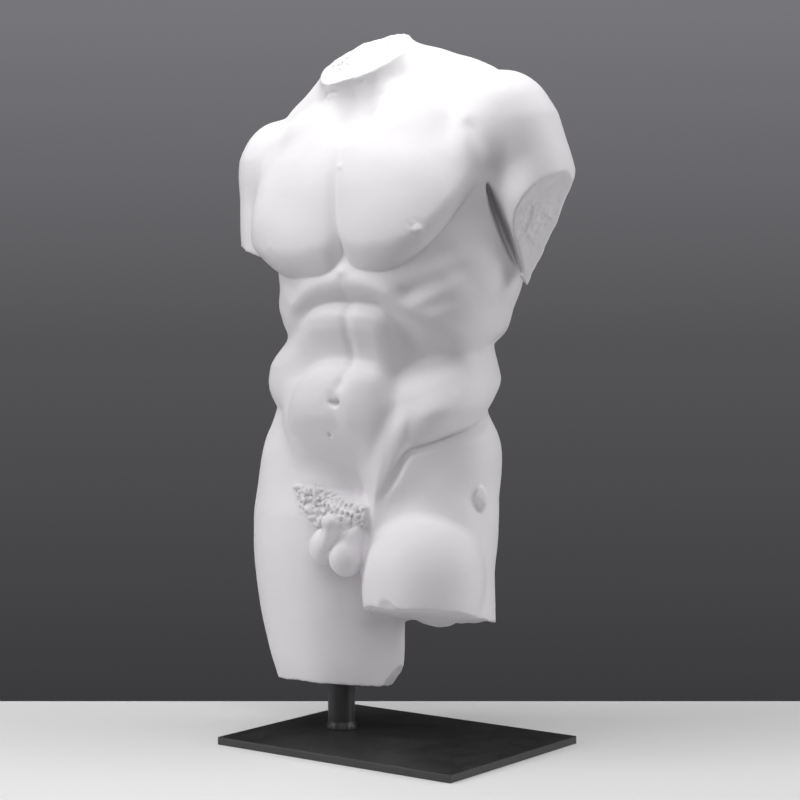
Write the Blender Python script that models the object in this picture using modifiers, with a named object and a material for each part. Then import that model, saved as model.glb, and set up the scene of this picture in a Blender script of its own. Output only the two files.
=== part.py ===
"""Marble torso on a steel stand: the plain solids of a classical male torso, broken through the
neck, arms and thighs, carried by a round post on a flat plate."""
import itertools
import math

import bpy
import numpy as np

MM = 0.001

# Stand
PLATE_WIDE = 330.0                  # along x
PLATE_DEEP = 254.0                  # along y
PLATE_THICK = 9.0
PLATE_EDGE = 1.0
POST_RADIUS = 16.0
POST_X = -PLATE_WIDE / 4.0          # under the standing thigh
POST_TOP = 74.0
WELD_REACH = 2.6
WELD_HEIGHT = 8.0
GAP = 0.3                           # between pieces that touch

# Torso
FACES = 8900                        # triangles left after thinning
CELL = 6.0
BREAK_OCTAVES = 1
LOW = (-246.0, -150.0, 42.0)        # the block of space the figure is cut from
HIGH = (250.0, 140.0, 846.0)
CHUNK = 400000
RIGHT = 0                           # the figure's own right, at -x
LEFT = 1
FAR = 1000.0
BAND = 26.0                         # how far from the surface the distances have to hold

# The trunk unrolls around this upright axis, so many millimetres of arc to a radian.
TRUNK_AXIS = (-8.0, 6.0)
TRUNK_SPAN = 120.0
# Where the midline of the front runs: height, arc.
MIDLINE = [(285, -7), (360, -7), (400, -1), (445, 6), (545, 6), (600, 1), (660, -6), (720, -12)]

# Level sections: height, centre across, centre back, half width, half depth.
BELLY_ROWS = [(205, -22, 0, 72, 64), (240, -24, 0, 100, 80), (290, -23, 0, 113, 88),
              (340, -23, 1, 126, 91), (382, -25, 2, 134, 92), (430, -20, 3, 129, 91),
              (470, -12, 4, 127, 91), (520, -4, 4, 118, 90)]
RIB_ROWS = [(425, -6, 8, 108, 82), (450, -7, 7, 125, 91), (472, -8, 6, 134, 97),
            (500, -8, 6, 144, 100), (530, -4, 7, 151, 101), (570, -2, 8, 155, 101),
            (620, 0, 9, 155, 99), (665, -3, 10, 148, 92), (705, -9, 13, 126, 80),
            (745, -16, 20, 84, 58)]
RIGHT_THIGH_ROWS = [(40, -82, 0, 68, 70), (62, -83, 0, 70, 72), (100, -86, -2, 77, 79),
                    (158, -92, -5, 82, 86), (220, -97, -7, 83, 89), (262, -98, -4, 85, 88),
                    (305, -93, 3, 83, 80), (350, -84, 8, 74, 67), (400, -76, 8, 60, 54)]
LEFT_THIGH_ROWS = [(100, 64, -22, 70, 72), (150, 62, -20, 72, 73), (200, 58, -16, 71, 75),
                   (250, 54, -5, 73, 74), (300, 48, 6, 73, 72), (345, 40, 10, 68, 68)]

# Borders on the unrolled trunk: arc from the midline, height.
RIB_EDGE = {RIGHT: [(0, 516), (55, 512), (82, 503), (104, 484), (124, 474), (230, 474),
                    (300, 445), (380, 420)],
            LEFT: [(0, 516), (44, 513), (64, 505), (88, 486), (113, 468), (148, 458), (185, 465),
                   (215, 474), (300, 445), (380, 420)]}
GROIN_FOLD = {RIGHT: [(0, 262), (50, 274), (68, 290), (78, 304), (88, 322), (94, 350), (99, 374),
                      (110, 384), (126, 388), (180, 391), (380, 402)],
              LEFT: [(0, 262), (40, 278), (64, 291), (81, 310), (92, 328), (101, 345), (119, 350),
                     (150, 359), (188, 372), (225, 392), (380, 404)]}
# Where the ribs begin to fall away to the waist, and where the flank pads begin below it.
RIB_MARGIN = {RIGHT: [(0, 505), (80, 498), (110, 488), (150, 480), (380, 440)],
              LEFT: [(0, 512), (60, 510), (90, 500), (110, 490), (135, 478), (155, 470), (215, 470),
                     (380, 440)]}
PAD_TOP = {RIGHT: [(0, 520), (55, 516), (82, 508), (104, 492), (124, 482), (230, 482), (300, 453),
                   (380, 428)],
           LEFT: [(60, 414), (83, 424), (113, 437), (146, 454), (165, 464), (215, 474), (300, 450),
                  (380, 425)]}
# The inner border of each flank pad: height, arc.
PAD_INNER = {RIGHT: [(300, 50), (345, 70), (380, 84), (450, 84)],
             LEFT: [(285, 30), (300, 34), (324, 42), (345, 54), (376, 66), (395, 71), (413, 73),
                    (440, 75)]}
# Where the left half of the belly wall ends: height, arc.
BELLY_BORDER = [(285, 52), (315, 60), (345, 72), (380, 80), (520, 80)]
PAD_THICK = {RIGHT: 18.0, LEFT: 16.5}
PEC_THICK = 21.0
# How far the belly wall stands out along the midline: height, rise.
BELLY_SWELL = [(262, -50), (285, -46), (305, -37), (325, -23), (345, -8), (365, 4), (385, 12),
               (402, 14), (415, 13), (425, 10.5), (433, 5), (441, -4), (449, -7.5), (460, -4.5),
               (472, 1), (484, 6), (495, 7.5), (503, 4), (511, -1.5), (520, -2.5)]
HAIR_THICK = 5.0
# Upper and lower edge of the hair: arc, height.
HAIR_TOP = [(-84, 303), (-44, 296), (-23, 291), (23, 285), (50, 280)]
HAIR_LOW = [(-60, 262), (-45, 254), (-15, 250), (15, 250), (34, 260), (50, 268)]
ARCH = [(-118, 495), (-90, 513), (-50, 529), (-14, 535), (14, 535), (44, 529), (70, 513), (90, 486)]
# How far the wall of the belly hangs below its level at the midline: arc, drop.
SAG = [(-90, 12), (-60, 2), (-30, -1), (0, 0), (30, 2), (55, 8), (72, 20), (90, 24)]
CHEST_EDGE = [(130, -52, 712), (141, -58, 695), (151, -58, 668), (157, -53, 640)]
FOLD_CREASE = [(54, 284), (70, 298), (83, 315), (93, 334), (104, 346), (122, 351), (150, 359),
               (188, 372), (225, 394)]
# Ribs and serratus: centre, half sizes, turn in degrees, height of the rise.
RIB_MOUNDS = [((91, 523), (21, 11), 18, -9.0), ((74, 535), (14, 10), 10, -1.5),
              ((112, 508), (15, 9), 22, -3.0), ((117, 564), (13, 9), 25, -2.0),
              ((131, 545), (12, 9), 30, -2.4), ((143, 529), (12, 9), 30, -2.2),
              ((126, 488), (18, 9), 20, -1.8), ((108, 543), (18, 10), 28, 1.8),
              ((122, 523), (20, 10), 26, 2.0), ((134, 504), (22, 10), 24, 1.8),
              ((98, 503), (18, 9), 26, 0.6)]


# ---------------------------------------------------------------------------------------------
# Shaping kit. Everything in this part is in millimetres: x to the figure's left, y to its back,
# z up, with the origin under the middle of the plate. A shape is a function from points to
# signed distances, negative inside.
# ---------------------------------------------------------------------------------------------
def ramp(x):
    """Smooth step from 0 to 1."""
    x = np.clip(x, 0.0, 1.0)
    return x * x * (3.0 - 2.0 * x)


def shelf(x, sharp):
    """Quick rise out of a crease that rounds over to 1."""
    return (1.0 - (1.0 - np.clip(x, 0.0, 1.0)) ** 2) ** sharp


def merge(a, b, fillet):
    """Union of two distances with a fillet between them."""
    overlap = np.maximum(fillet - np.abs(a - b), 0.0) / fillet
    return np.minimum(a, b) - overlap * overlap * fillet * 0.25


def unit(direction):
    """The direction at a length of one."""
    direction = np.asarray(direction, float)
    return direction / np.linalg.norm(direction)


def spline(x, table):
    """Smooth curve through (position, value) rows that never overshoots them."""
    xs, ys = np.asarray(table, float).T
    width = np.diff(xs)
    slope = np.diff(ys) / width
    bend = np.zeros(len(xs))
    both = slope[:-1] + slope[1:]
    same = slope[:-1] * slope[1:] > 0
    bend[1:-1] = np.where(same, 2.0 * slope[:-1] * slope[1:] / np.where(both == 0, 1.0, both), 0.0)
    bend[0] = slope[0]
    bend[-1] = slope[-1]
    i = np.clip(np.searchsorted(xs, x) - 1, 0, len(xs) - 2)
    t = np.clip((x - xs[i]) / width[i], 0.0, 1.0)
    start = (1.0 + 2.0 * t) * (1.0 - t) ** 2 * ys[i] + t * (1.0 - t) ** 2 * width[i] * bend[i]
    end = t * t * (3.0 - 2.0 * t) * ys[i + 1] + t * t * (t - 1.0) * width[i] * bend[i + 1]
    return start + end


def axes_of(along, out):
    """Rows of a turned frame: across, out and along."""
    along = unit(along)
    out = np.asarray(out, float)
    out = unit(out - along * (out @ along))
    return np.stack([np.cross(along, out), out, along])


class Lump:
    """An ellipsoid muscle: half sizes across, out and along, blended in with a fillet."""

    def __init__(self, centre, half, along=(0, 0, 1), out=(0, -1, 0), fillet=14.0):
        self.centre = np.asarray(centre, float)
        self.half = np.asarray(half, float)
        self.turn = axes_of(along, out)
        self.fillet = fillet
        self.reach = max(half) + fillet + BAND

    def near(self, p):
        return ((p - self.centre) ** 2).sum(1) < self.reach ** 2

    def distance(self, p):
        q = (p - self.centre) @ self.turn.T
        size = np.linalg.norm(q / self.half, axis=1)
        steep = np.linalg.norm(q / self.half ** 2, axis=1)
        return size * (size - 1.0) / np.maximum(steep, 1e-9)


class Loft:
    """A body through level sections: rows of height, centre across, centre back, half width
    and half depth, along a straight line from the foot."""

    def __init__(self, rows, power=2.1, foot=(0, 0, 0), along=(0, 0, 1), ends=16.0, fillet=14.0):
        rows = np.asarray(rows, float)
        self.curves = [rows[:, [0, k]] for k in range(1, 5)]
        self.low = rows[0, 0]
        self.high = rows[-1, 0]
        self.power = power
        self.foot = np.asarray(foot, float)
        self.turn = axes_of(along, (0, -1, 0))
        self.ends = ends
        self.fillet = fillet

    def near(self, p):
        height = (p - self.foot) @ self.turn[2]
        return (height > self.low - self.fillet - BAND) & (height < self.high + self.fillet + BAND)

    def distance(self, p):
        q = (p - self.foot) @ self.turn.T
        across, back, wide, deep = [spline(q[:, 2], curve) for curve in self.curves]
        x = np.abs(q[:, 0] - across) / wide
        y = np.abs(-q[:, 1] - back) / deep
        size = np.maximum((x ** self.power + y ** self.power) ** (1.0 / self.power), 1e-6)
        radius = np.hypot(q[:, 0] - across, q[:, 1] + back)
        side = np.where(size > 0.05, radius - radius / size, -np.minimum(wide, deep))
        cap = np.abs(q[:, 2] - (self.low + self.high) / 2.0) - (self.high - self.low) / 2.0
        return -merge(-side, -cap, self.ends)


def lattice(i, j, k, seed):
    """Random value from 0 to 1 for each whole-number corner."""
    value = np.sin(i * 127.1 + j * 311.7 + k * 74.7 + seed * 53.3) * 43758.5453
    return value - np.floor(value)


def noise(p, size, octaves=1, seed=0):
    """Smooth noise from -1 to 1, in cells of the given size and finer."""
    total = np.zeros(len(p))
    reach = 0.0
    for octave in range(octaves):
        gain = 0.5 ** octave
        q = p * (2.0 ** octave / size) + 17.3 * octave
        corner = np.floor(q)
        f = q - corner
        f = f * f * (3.0 - 2.0 * f)
        value = 0.0
        for i, j, k in itertools.product((0, 1), repeat=3):
            weight = np.abs(1 - i - f[:, 0]) * np.abs(1 - j - f[:, 1]) * np.abs(1 - k - f[:, 2])
            value = value + weight * lattice(corner[:, 0] + i, corner[:, 1] + j, corner[:, 2] + k,
                                             seed + octave)
        total += gain * (2.0 * value - 1.0)
        reach += gain
    return total / reach


class Break:
    """A rough plane where the stone broke: what lies beyond it is gone."""

    def __init__(self, point, outward, rough, size, seed=1):
        self.point = np.asarray(point, float)
        self.outward = unit(outward)
        self.rough = rough
        self.size = size
        self.seed = seed

    def level(self, p):
        level = (p - self.point) @ self.outward
        close = np.abs(level) < 16.0
        level[close] += self.rough * noise(p[close], self.size, BREAK_OCTAVES, self.seed)
        return level

    def trim(self, p, d):
        return np.maximum(d, self.level(p))


class HollowBreak:
    """Two rough planes that meet in a hollow: only what lies beyond both of them is gone."""

    def __init__(self, first, second):
        self.planes = (first, second)

    def trim(self, p, d):
        return np.maximum(d, np.minimum(*[plane.level(p) for plane in self.planes]))


def mound(u, z, centre, half, turn, height):
    """A rounded rise on the unrolled trunk."""
    angle = math.radians(turn)
    x = (u - centre[0]) * math.cos(angle) + (z - centre[1]) * math.sin(angle)
    y = (z - centre[1]) * math.cos(angle) - (u - centre[0]) * math.sin(angle)
    return height * np.exp(-(x / half[0]) ** 2 - (y / half[1]) ** 2)


def smooth_line(corners, steps=5):
    """Points on a smooth curve through the corners."""
    c = np.asarray(corners, float)
    c = np.vstack([2 * c[0] - c[1], c, 2 * c[-1] - c[-2]])
    line = []
    for i in range(1, len(c) - 2):
        p0, p1, p2, p3 = c[i - 1:i + 3]
        for t in np.arange(steps) / steps:
            line.append(0.5 * (2 * p1 + (p2 - p0) * t + (2 * p0 - 5 * p1 + 4 * p2 - p3) * t ** 2
                               + (3 * p1 - p0 - 3 * p2 + p3) * t ** 3))
    return np.array(line + [c[-2]])


def beside(q, corners):
    """Distance to a smooth curve, and how far along it the nearest spot is, from 0 to 1."""
    line = smooth_line(corners)
    steps = np.diff(line, axis=0)
    lengths = np.linalg.norm(steps, axis=1)
    run = np.concatenate([[0.0], np.cumsum(lengths)])
    gap = np.full(len(q), FAR)
    along = np.zeros(len(q))
    for i, (step, length) in enumerate(zip(steps, lengths)):
        away = q - line[i]
        t = np.clip(away @ step / length ** 2, 0.0, 1.0)
        distance = np.linalg.norm(away - t[:, None] * step, axis=1)
        closer = distance < gap
        gap[closer] = distance[closer]
        along[closer] = (run[i] + t[closer] * length) / run[-1]
    return gap, along


def stroke(q, corners, width, height, fade=0.15):
    """A soft ridge along a smooth curve, dying away at both ends."""
    gap, along = beside(q, corners)
    ends = ramp(along / fade) * ramp((1.0 - along) / fade)
    return height * np.exp(-(gap / width) ** 2) * ends


# ---------------------------------------------------------------------------------------------
# The trunk: a rib cage over a belly, with the muscles as relief on the unrolled surface.
# ---------------------------------------------------------------------------------------------
def unroll(p):
    """Arc to the figure's left of the midline, at the radius TRUNK_SPAN, and height."""
    u = TRUNK_SPAN * np.arctan2(p[:, 0] - TRUNK_AXIS[0], TRUNK_AXIS[1] - p[:, 1])
    return u - spline(p[:, 2], MIDLINE), p[:, 2]


def flat(u, z):
    """Points on the unrolled trunk."""
    return np.stack([u, z], 1)


def sides(u, right, left):
    """The value for the figure's right or left side, running over at the midline."""
    share = ramp((u + 9.0) / 18.0)
    return right + (left - right) * share


def by_side(u, curves):
    """The curve of the side that the point is on."""
    a = np.abs(u)
    return sides(u, spline(a, curves[RIGHT]), spline(a, curves[LEFT]))


def pectorals(u, z):
    """Chest plates with a rounded lower border; the hanging arm pushes the right one out."""
    a = np.abs(u)
    knee = sides(u, 92.0, 50.0)
    low = sides(u, 539.0, 544.0)
    rise = sides(u, 70.0, 84.0)
    border = low + rise * (np.clip(a - knee, 0, None) / 95.0) ** 2
    border = border + sides(u, 35.0, 25.0) * np.exp(-a / 12.0)
    up = shelf((z - border) / 34.0, 0.85)
    fade = 1.0 - 0.55 * ramp((z - 640.0) / 90.0)
    side = 1.0 - ramp((a - 165.0) / 50.0)
    furrow = 1.0 - (0.42 - 0.22 * ramp((z - 590.0) / 90.0)) * np.exp(-(u / 9.0) ** 2)
    height = PEC_THICK * up * fade * side * furrow * (0.7 + 0.3 * ramp(a / 50.0))
    height += mound(u, z, (-122, 604), (36, 52), 0, 15.0) * up
    height += mound(a, z, (74, 588), (60, 42), 0, 5.0)
    return height


def rib_relief(u, z):
    """Relief over the rib cage: chest, costal arch, ribs, and the spine behind."""
    a = np.abs(u)
    height = pectorals(u, z)
    height += stroke(flat(u, z), ARCH, 13, 7.0, 0.2)
    height += mound(u, z, (0, 546), (9, 7), 0, 3.0)
    height -= stroke(flat(u, z), [(0, 545), (0, 500)], 7, 1.5)
    lean = sides(u, 0.4, 0.85)
    for centre, half, turn, rise in RIB_MOUNDS:
        height += lean * mound(a, z, centre, half, turn, rise)
    height -= under_ribs(u, z)
    behind = ramp((a - 290.0) / 60.0)
    spine = TRUNK_SPAN * math.pi - a
    height -= 9.0 * np.exp(-(spine / 16.0) ** 2) * behind
    height += 6.0 * np.exp(-((spine - 34.0) / 20.0) ** 2) * behind * ramp((640.0 - z) / 80.0)
    return height


def under_ribs(u, z):
    """Depth of the slope that runs in from the edge of the ribs to the top of the flank pad."""
    a = np.abs(u)
    start = by_side(u, RIB_MARGIN) + 4.0 - z
    end = z + 24.0 - by_side(u, PAD_TOP)
    window = ramp((a - 40.0) / 64.0) * ramp((170.0 - a) / 60.0)
    return sides(u, 2.5, 21.0) * window * ramp(start / 46.0) * ramp(end / 38.0)


def rectus(u, z):
    """The belly wall: blocks under the arch, then the long swell, with the midline let in."""
    a = np.abs(u)
    inner = sides(u, 112.0, spline(z, BELLY_BORDER))
    inside = shelf((inner - a) / 66.0, 1.25)
    height = inside * spline(z + spline(u, SAG), BELLY_SWELL)
    height -= stroke(flat(u, z), [(0, 515), (0, 470), (0, 430), (-1, 408)], 9, 3.6, 0.12)
    height -= stroke(flat(u, z), [(0, 400), (0, 360)], 10, 1.4, 0.3)
    return height


def flank_pads(u, z, fold, inner):
    """The swelling over each hip bone, between the ribs and the groin fold."""
    a = np.abs(u)
    low = (z - fold) * sides(u, 1.15, 0.6 + 0.55 * ramp((a - 95.0) / 45.0))
    edges = ramp((by_side(u, PAD_TOP) - z) / sides(u, 46.0, 56.0))
    edges *= ramp((a - inner) / sides(u, 60.0, 52.0))
    front = 1.0 + 0.3 * np.exp(-((a - 120.0) / 50.0) ** 2)
    thick = sides(u, PAD_THICK[RIGHT], PAD_THICK[LEFT] * front) * ramp((z - 310.0) / 86.0)
    return thick * shelf(low / 44.0, 1.15) * edges * (1.0 - ramp((a - 215.0) / 130.0))


def belly_relief(u, z):
    """Relief over the belly: rectus, lower belly, flank pads and navel."""
    fold = by_side(u, GROIN_FOLD)
    height = rectus(u, z)
    a = np.abs(u)
    inner = sides(u, spline(z, PAD_INNER[RIGHT]), spline(z, PAD_INNER[LEFT]))
    seam = ramp((z - 320.0) / 40.0) * ramp((470.0 - z) / 40.0) * sides(u, 0.3, 0.5)
    height -= 5.0 * np.exp(-((a - inner - 2.0) / 12.0) ** 2) * seam
    height += flank_pads(u, z, fold, inner) - under_ribs(u, z)
    height -= mound(u, z, (-1, 399), (4.5, 4), 0, 8.0)
    height -= mound(u, z, (-8, 405), (10, 9), 30, 2.5)
    return height


BELLY = Loft(BELLY_ROWS, power=2.1, ends=24.0)
RIB_CAGE = Loft(RIB_ROWS, power=2.25, ends=20.0)


def trunk(p):
    """Rib cage and belly, the ribs ending at their lower edge."""
    u, z = unroll(p)
    belly = BELLY.distance(p) - belly_relief(u, z)
    ribs = RIB_CAGE.distance(p) - rib_relief(u, z)
    edge = (by_side(u, RIB_EDGE) - z) * 0.8
    ribs = -merge(-ribs, -edge, 12.0)
    return merge(belly, ribs, 12.0)


# ---------------------------------------------------------------------------------------------
# Neck, shoulders, arms, hips and thighs
# ---------------------------------------------------------------------------------------------
class Limb:
    """Shapes blended together, broken off at their ends, then blended onto the body."""

    def __init__(self, shapes, breaks=(), fillet=12.0):
        self.shapes = shapes
        self.breaks = breaks
        self.fillet = fillet

    def near(self, p, d):
        return np.any([shape.near(p) for shape in self.shapes], axis=0)

    def apply(self, p, d):
        own = np.full(len(p), FAR)
        for shape in self.shapes:
            m = shape.near(p)
            own[m] = merge(own[m], shape.distance(p[m]), shape.fillet)
        for rough_plane in self.breaks:
            own = rough_plane.trim(p, own)
        return merge(d, own, self.fillet)


class Dent:
    """A soft hollow pressed into the surface: half sizes across, out and along, and depth."""

    def __init__(self, centre, half, depth, along=(0, 0, 1), out=(0, -1, 0)):
        self.centre = np.asarray(centre, float)
        self.half = np.asarray(half, float)
        self.depth = depth
        self.turn = axes_of(along, out)

    def near(self, p, d):
        return (np.abs(d) < 30.0) & (((p - self.centre) ** 2).sum(1) < (2.6 * self.half.max()) ** 2)

    def apply(self, p, d):
        q = (p - self.centre) @ self.turn.T / self.half
        return d + self.depth * np.exp(-(q ** 2).sum(1))


class Scoop:
    """An ellipsoid of stone taken away, its rim rounded by the fillet."""

    def __init__(self, shape):
        self.shape = shape

    def near(self, p, d):
        return self.shape.near(p)

    def apply(self, p, d):
        return -merge(-d, self.shape.distance(p), self.shape.fillet)


class HairPad:
    """The raised triangle of pubic hair, crisp along its upper edge."""

    def near(self, p, d):
        return (np.abs(d) < 14.0) & (p[:, 2] > 225.0) & (p[:, 2] < 320.0) & (p[:, 1] < -40.0)

    def apply(self, p, d):
        u, z = unroll(p)
        return d - HAIR_THICK * hair_share(u, z)


class Furrow:
    """A soft groove in the surface along a curve in space; a negative depth makes a ridge."""

    def __init__(self, corners, width, depth, fade=0.25):
        self.corners = np.asarray(corners, float)
        self.width = width
        self.depth = depth
        self.fade = fade

    def near(self, p, d):
        room = 2.5 * self.width
        inside = ((p > self.corners.min(0) - room) & (p < self.corners.max(0) + room)).all(1)
        return inside & (np.abs(d) < BAND)

    def apply(self, p, d):
        return d + stroke(p, self.corners, self.width, self.depth, self.fade)


class Crease:
    """The crease from the pubis under the left hip, a line on the unrolled trunk."""

    def near(self, p, d):
        return (np.abs(d) < 14.0) & (p[:, 2] > 270.0) & (p[:, 2] < 400.0)

    def apply(self, p, d):
        u, z = unroll(p)
        return d + stroke(flat(u, z), FOLD_CREASE, 5.5, 8.0, 0.3)


def hair_share(u, z):
    """How much of the hair's thickness there is, from 0 off the pad to 1."""
    top = ramp((spline(u, HAIR_TOP) - z) / 3.5 + 0.5)
    outer = ramp((u + 80.0 - 0.72 * (300.0 - z)) / 4.0 + 0.5)
    inner = ramp((40.0 - u) / 4.0 + 0.5)
    low = ramp((z - spline(u, HAIR_LOW)) / 5.0 + 0.5)
    return top * outer * inner * low


def back_muscles():
    """Broad back, shoulder blades and buttocks, a pair of each."""
    shapes = []
    for side in (-1, 1):
        shapes.append(Lump((side * 112, 42, 600), (36, 52, 100), (side * 0.16, 0, 1),
                           (side * 0.5, -1, 0), 24))
        shapes.append(Lump((side * 78, 66, 655), (66, 34, 66), (side * -0.1, 0, 1), fillet=24))
        shapes.append(Lump((-23 + side * 62, 50, 268), (54, 58, 64), fillet=14))
    return shapes


def shoulder_girdle():
    """Collar bones, trapezius and the outer chest, the left side standing higher."""
    return [Lump((-84, -24, 705), (74, 36, 34), (-0.25, 0.25, 1), fillet=16),
            Lump((52, -20, 692), (88, 46, 62), (0.15, 0.1, 1), fillet=26),
            Lump((57, 21, 752), (86, 42, 36), (0.3, 0.25, 1), fillet=24),
            Lump((-142, -26, 652), (38, 34, 66), (-0.25, 0.1, 1), (-0.5, -1, 0), 16),
            Lump((132, -28, 668), (38, 34, 66), (0.3, 0.1, 1), (0.5, -1, 0), 16),
            Lump((-108, 8, 742), (64, 34, 24), (-0.4, 0, 0.92), fillet=26),
            Lump((-70, 8, 752), (40, 36, 46), fillet=30),
            Lump((21, 34, 774), (42, 26, 30), (0.5, 0, 1), fillet=14),
            Lump((60, 28, 765), (80, 34, 25), (0.24, 0, 1), fillet=24)]


def neck():
    """The neck leans to the front and to the figure's right."""
    rows = [(-40, 0, 0, 62, 52), (0, 0, 0, 57, 54), (60, 0, 0, 52, 54), (120, 0, 0, 54, 58)]
    return [Loft(rows, 2.4, (-20, 25, 728), (-0.2, -0.5, 0.85), 6, 16)]


def right_arm():
    """Hangs straight down."""
    rows = [(520, 0, 0, 44, 50), (560, 0, 0, 45, 50), (620, 0, 0, 47, 52), (680, 0, 0, 44, 50),
            (700, 0, 0, 34, 40)]
    return [Lump((-176, 6, 672), (50, 52, 60), fillet=18), Loft(rows, foot=(-180, 8, 0), fillet=12)]


def left_arm():
    """Held a little out from the side and back."""
    rows = [(-30, 0, 0, 34, 36), (0, -4, 0, 49, 46), (32, -8, 0, 49, 47), (60, -9, 0, 47, 49),
            (110, -5, 0, 42, 47), (180, -3, 0, 34, 42)]
    return [Lump((149, 2, 706), (55, 52, 62), (-0.38, 0, 0.9), fillet=18),
            Loft(rows, foot=(152, 6, 700), along=(0.26, 0.11, -0.96), fillet=14)]


def left_arm_breaks():
    """The arm broke upward and outward above the elbow, with a chip off the back."""
    upper = Break((202, -20, 630), (0.73, 0.0, -0.68), 3.0, 40, 3)
    lower = Break((168, -14, 562), (0.84, -0.36, -0.40), 3.0, 40, 3)
    back = Break((190, 30, 590), (0.74, 0.55, -0.38), 3.0, 30, 7)
    return [HollowBreak(upper, lower), back]


def strut_stump():
    """What is left of a strut that once steadied the left hand."""
    return [Lump((124, -9, 291), (7, 8, 14), (0, 0, 1), (0.9, -0.4, 0), 4)]


def right_thigh():
    """The standing leg, with the hip muscle on its outer front."""
    return [Loft(RIGHT_THIGH_ROWS, fillet=12), Lump((-118, -32, 305), (50, 46, 92), (0.04, 0, 1), fillet=16)]


def left_thigh():
    """The free leg."""
    return [Loft(LEFT_THIGH_ROWS, fillet=12), Lump((2, 24, 160), (16, 36, 50), fillet=14),
            Lump((90, 10, 340), (36, 46, 52), fillet=20)]


def left_thigh_front():
    """The front muscle of the free leg, swelling below a hollow."""
    return [Lump((74, -50, 204), (70, 59, 71), (0.05, 0.08, 1), (0.2, -1, 0), 6),
            Lump((72, -50, 180), (66, 60, 92), (0.05, 0.08, 1), (0.2, -1, 0), 10)]


def genitals():
    """Testicles and the stump of the penis."""
    return [Lump((0, -95, 226), (17, 23, 22), (-0.1, 0, 1), fillet=8),
            Lump((5, -86, 246), (8, 17, 13), fillet=6),
            Lump((-13, -94, 252), (10, 20, 20), fillet=6),
            Lump((-30, -99, 236), (15, 16, 21), (0.1, 0, 1), fillet=4),
            Lump((-12, -112, 252), (8, 9, 19), (0.15, 0.3, 1), fillet=4),
            Lump((-9, -112, 266), (10.5, 10, 9), fillet=3)]


def torso_field(finish=()):
    """The whole figure, with any finishing steps, as one function from points to distances."""
    left_knee_break = Break((0, 0, 149), (0.05, -0.22, -1), 4.0, 34, 5)
    right_knee_breaks = [Break((-82, 0, 63), (0.02, -0.17, -1), 1.5, 22),
                         Break((-14, 20, 84), (0.75, 0.3, -0.6), 2.0, 18, 6)]
    steps = [Limb(right_thigh(), right_knee_breaks),
             Limb(left_thigh(), [left_knee_break]),
             Dent((70, -82, 285), (48, 34, 23), 9.0),
             Limb(left_thigh_front(), [left_knee_break], 6),
             Scoop(Lump((70, -118, 170), (20, 14, 15), (0.5, 0, 1), (0, -1, 0), 3)),
             Scoop(Lump((122, -62, 160), (18, 12, 8), (0.3, 0, 1), (0.5, -1, 0), 3)),
             Dent((52, 2, 146), (26, 34, 24), -8.0),
             Limb(back_muscles(), fillet=14),
             Limb(shoulder_girdle(), fillet=16),
             Limb(neck(), fillet=20),
             Scoop(Lump((-17, -83, 738), (37, 42, 42), (-0.4, -0.3, 1), fillet=14)),
             Limb(right_arm(), [Break((-178, 8, 568), (-0.4, 0, -1), 3.0, 24)], 14),
             Limb(left_arm(), left_arm_breaks()),
             Dent((170, -40, 649), (36, 30, 20), 5.5),
             Scoop(Lump((160, -20, 588), (6.5, 22, 50), (12, 41, -86), (0.6, -0.8, 0), 5)),
             Furrow(CHEST_EDGE, 8.0, 5.0),
             Limb(strut_stump(), fillet=3),
             Limb([Lump((-12, -62, 270), (44, 20, 22), fillet=10)], fillet=10),
             HairPad(),
             Limb([Lump((10, -62, 226), (12, 18, 34), fillet=6)], fillet=6),
             Limb(genitals(), fillet=4),
             Crease(), *finish]
    neck_break = Break((-36, -14, 792.5), (-0.10, -0.70, 1), 3.5, 26, 4)

    def distance(p):
        p = np.asarray(p, float)
        d = np.full(len(p), FAR)
        m = (p[:, 2] > 180.0) & (p[:, 2] < 800.0)
        d[m] = trunk(p[m])
        for step in steps:
            m = step.near(p, d)
            if m.any():
                d[m] = step.apply(p[m], d[m])
        return neck_break.trim(p, d)

    return distance


# ---------------------------------------------------------------------------------------------
# From the field to faces: one vertex in each grid cell that the surface crosses
# ---------------------------------------------------------------------------------------------
def sample_grid(field, cell, coarse=4):
    """Distances on a grid, exact only in the cells near the surface."""
    counts = [int(math.ceil((h - l) / (cell * coarse))) * coarse + 1 for l, h in zip(LOW, HIGH)]
    few = [(n - 1) // coarse + 1 for n in counts]
    ticks = [l + cell * coarse * np.arange(n) for l, n in zip(LOW, few)]
    points = np.stack(np.meshgrid(*ticks, indexing="ij"), -1).reshape(-1, 3)
    rough = field(points).reshape(few)
    near = np.zeros([n - 1 for n in few], bool)
    for i, j, k in itertools.product((0, 1), repeat=3):
        block = rough[i:few[0] - 1 + i, j:few[1] - 1 + j, k:few[2] - 1 + k]
        near |= np.abs(block) < cell * coarse * 1.9
    values = rough[:-1, :-1, :-1]
    for axis in range(3):
        values = np.repeat(values, coarse, axis)
        near = np.repeat(near, coarse, axis)
    values = np.pad(values, ((0, 1),) * 3, mode="edge")
    near = np.pad(near, ((0, 1),) * 3, mode="edge")
    near[1:] |= near[:-1].copy()
    near[:, 1:] |= near[:, :-1].copy()
    near[:, :, 1:] |= near[:, :, :-1].copy()
    spots = np.argwhere(near)
    for start in range(0, len(spots), CHUNK):
        some = spots[start:start + CHUNK]
        values[tuple(some.T)] = field(np.asarray(LOW, float) + cell * some)
    return values


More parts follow.
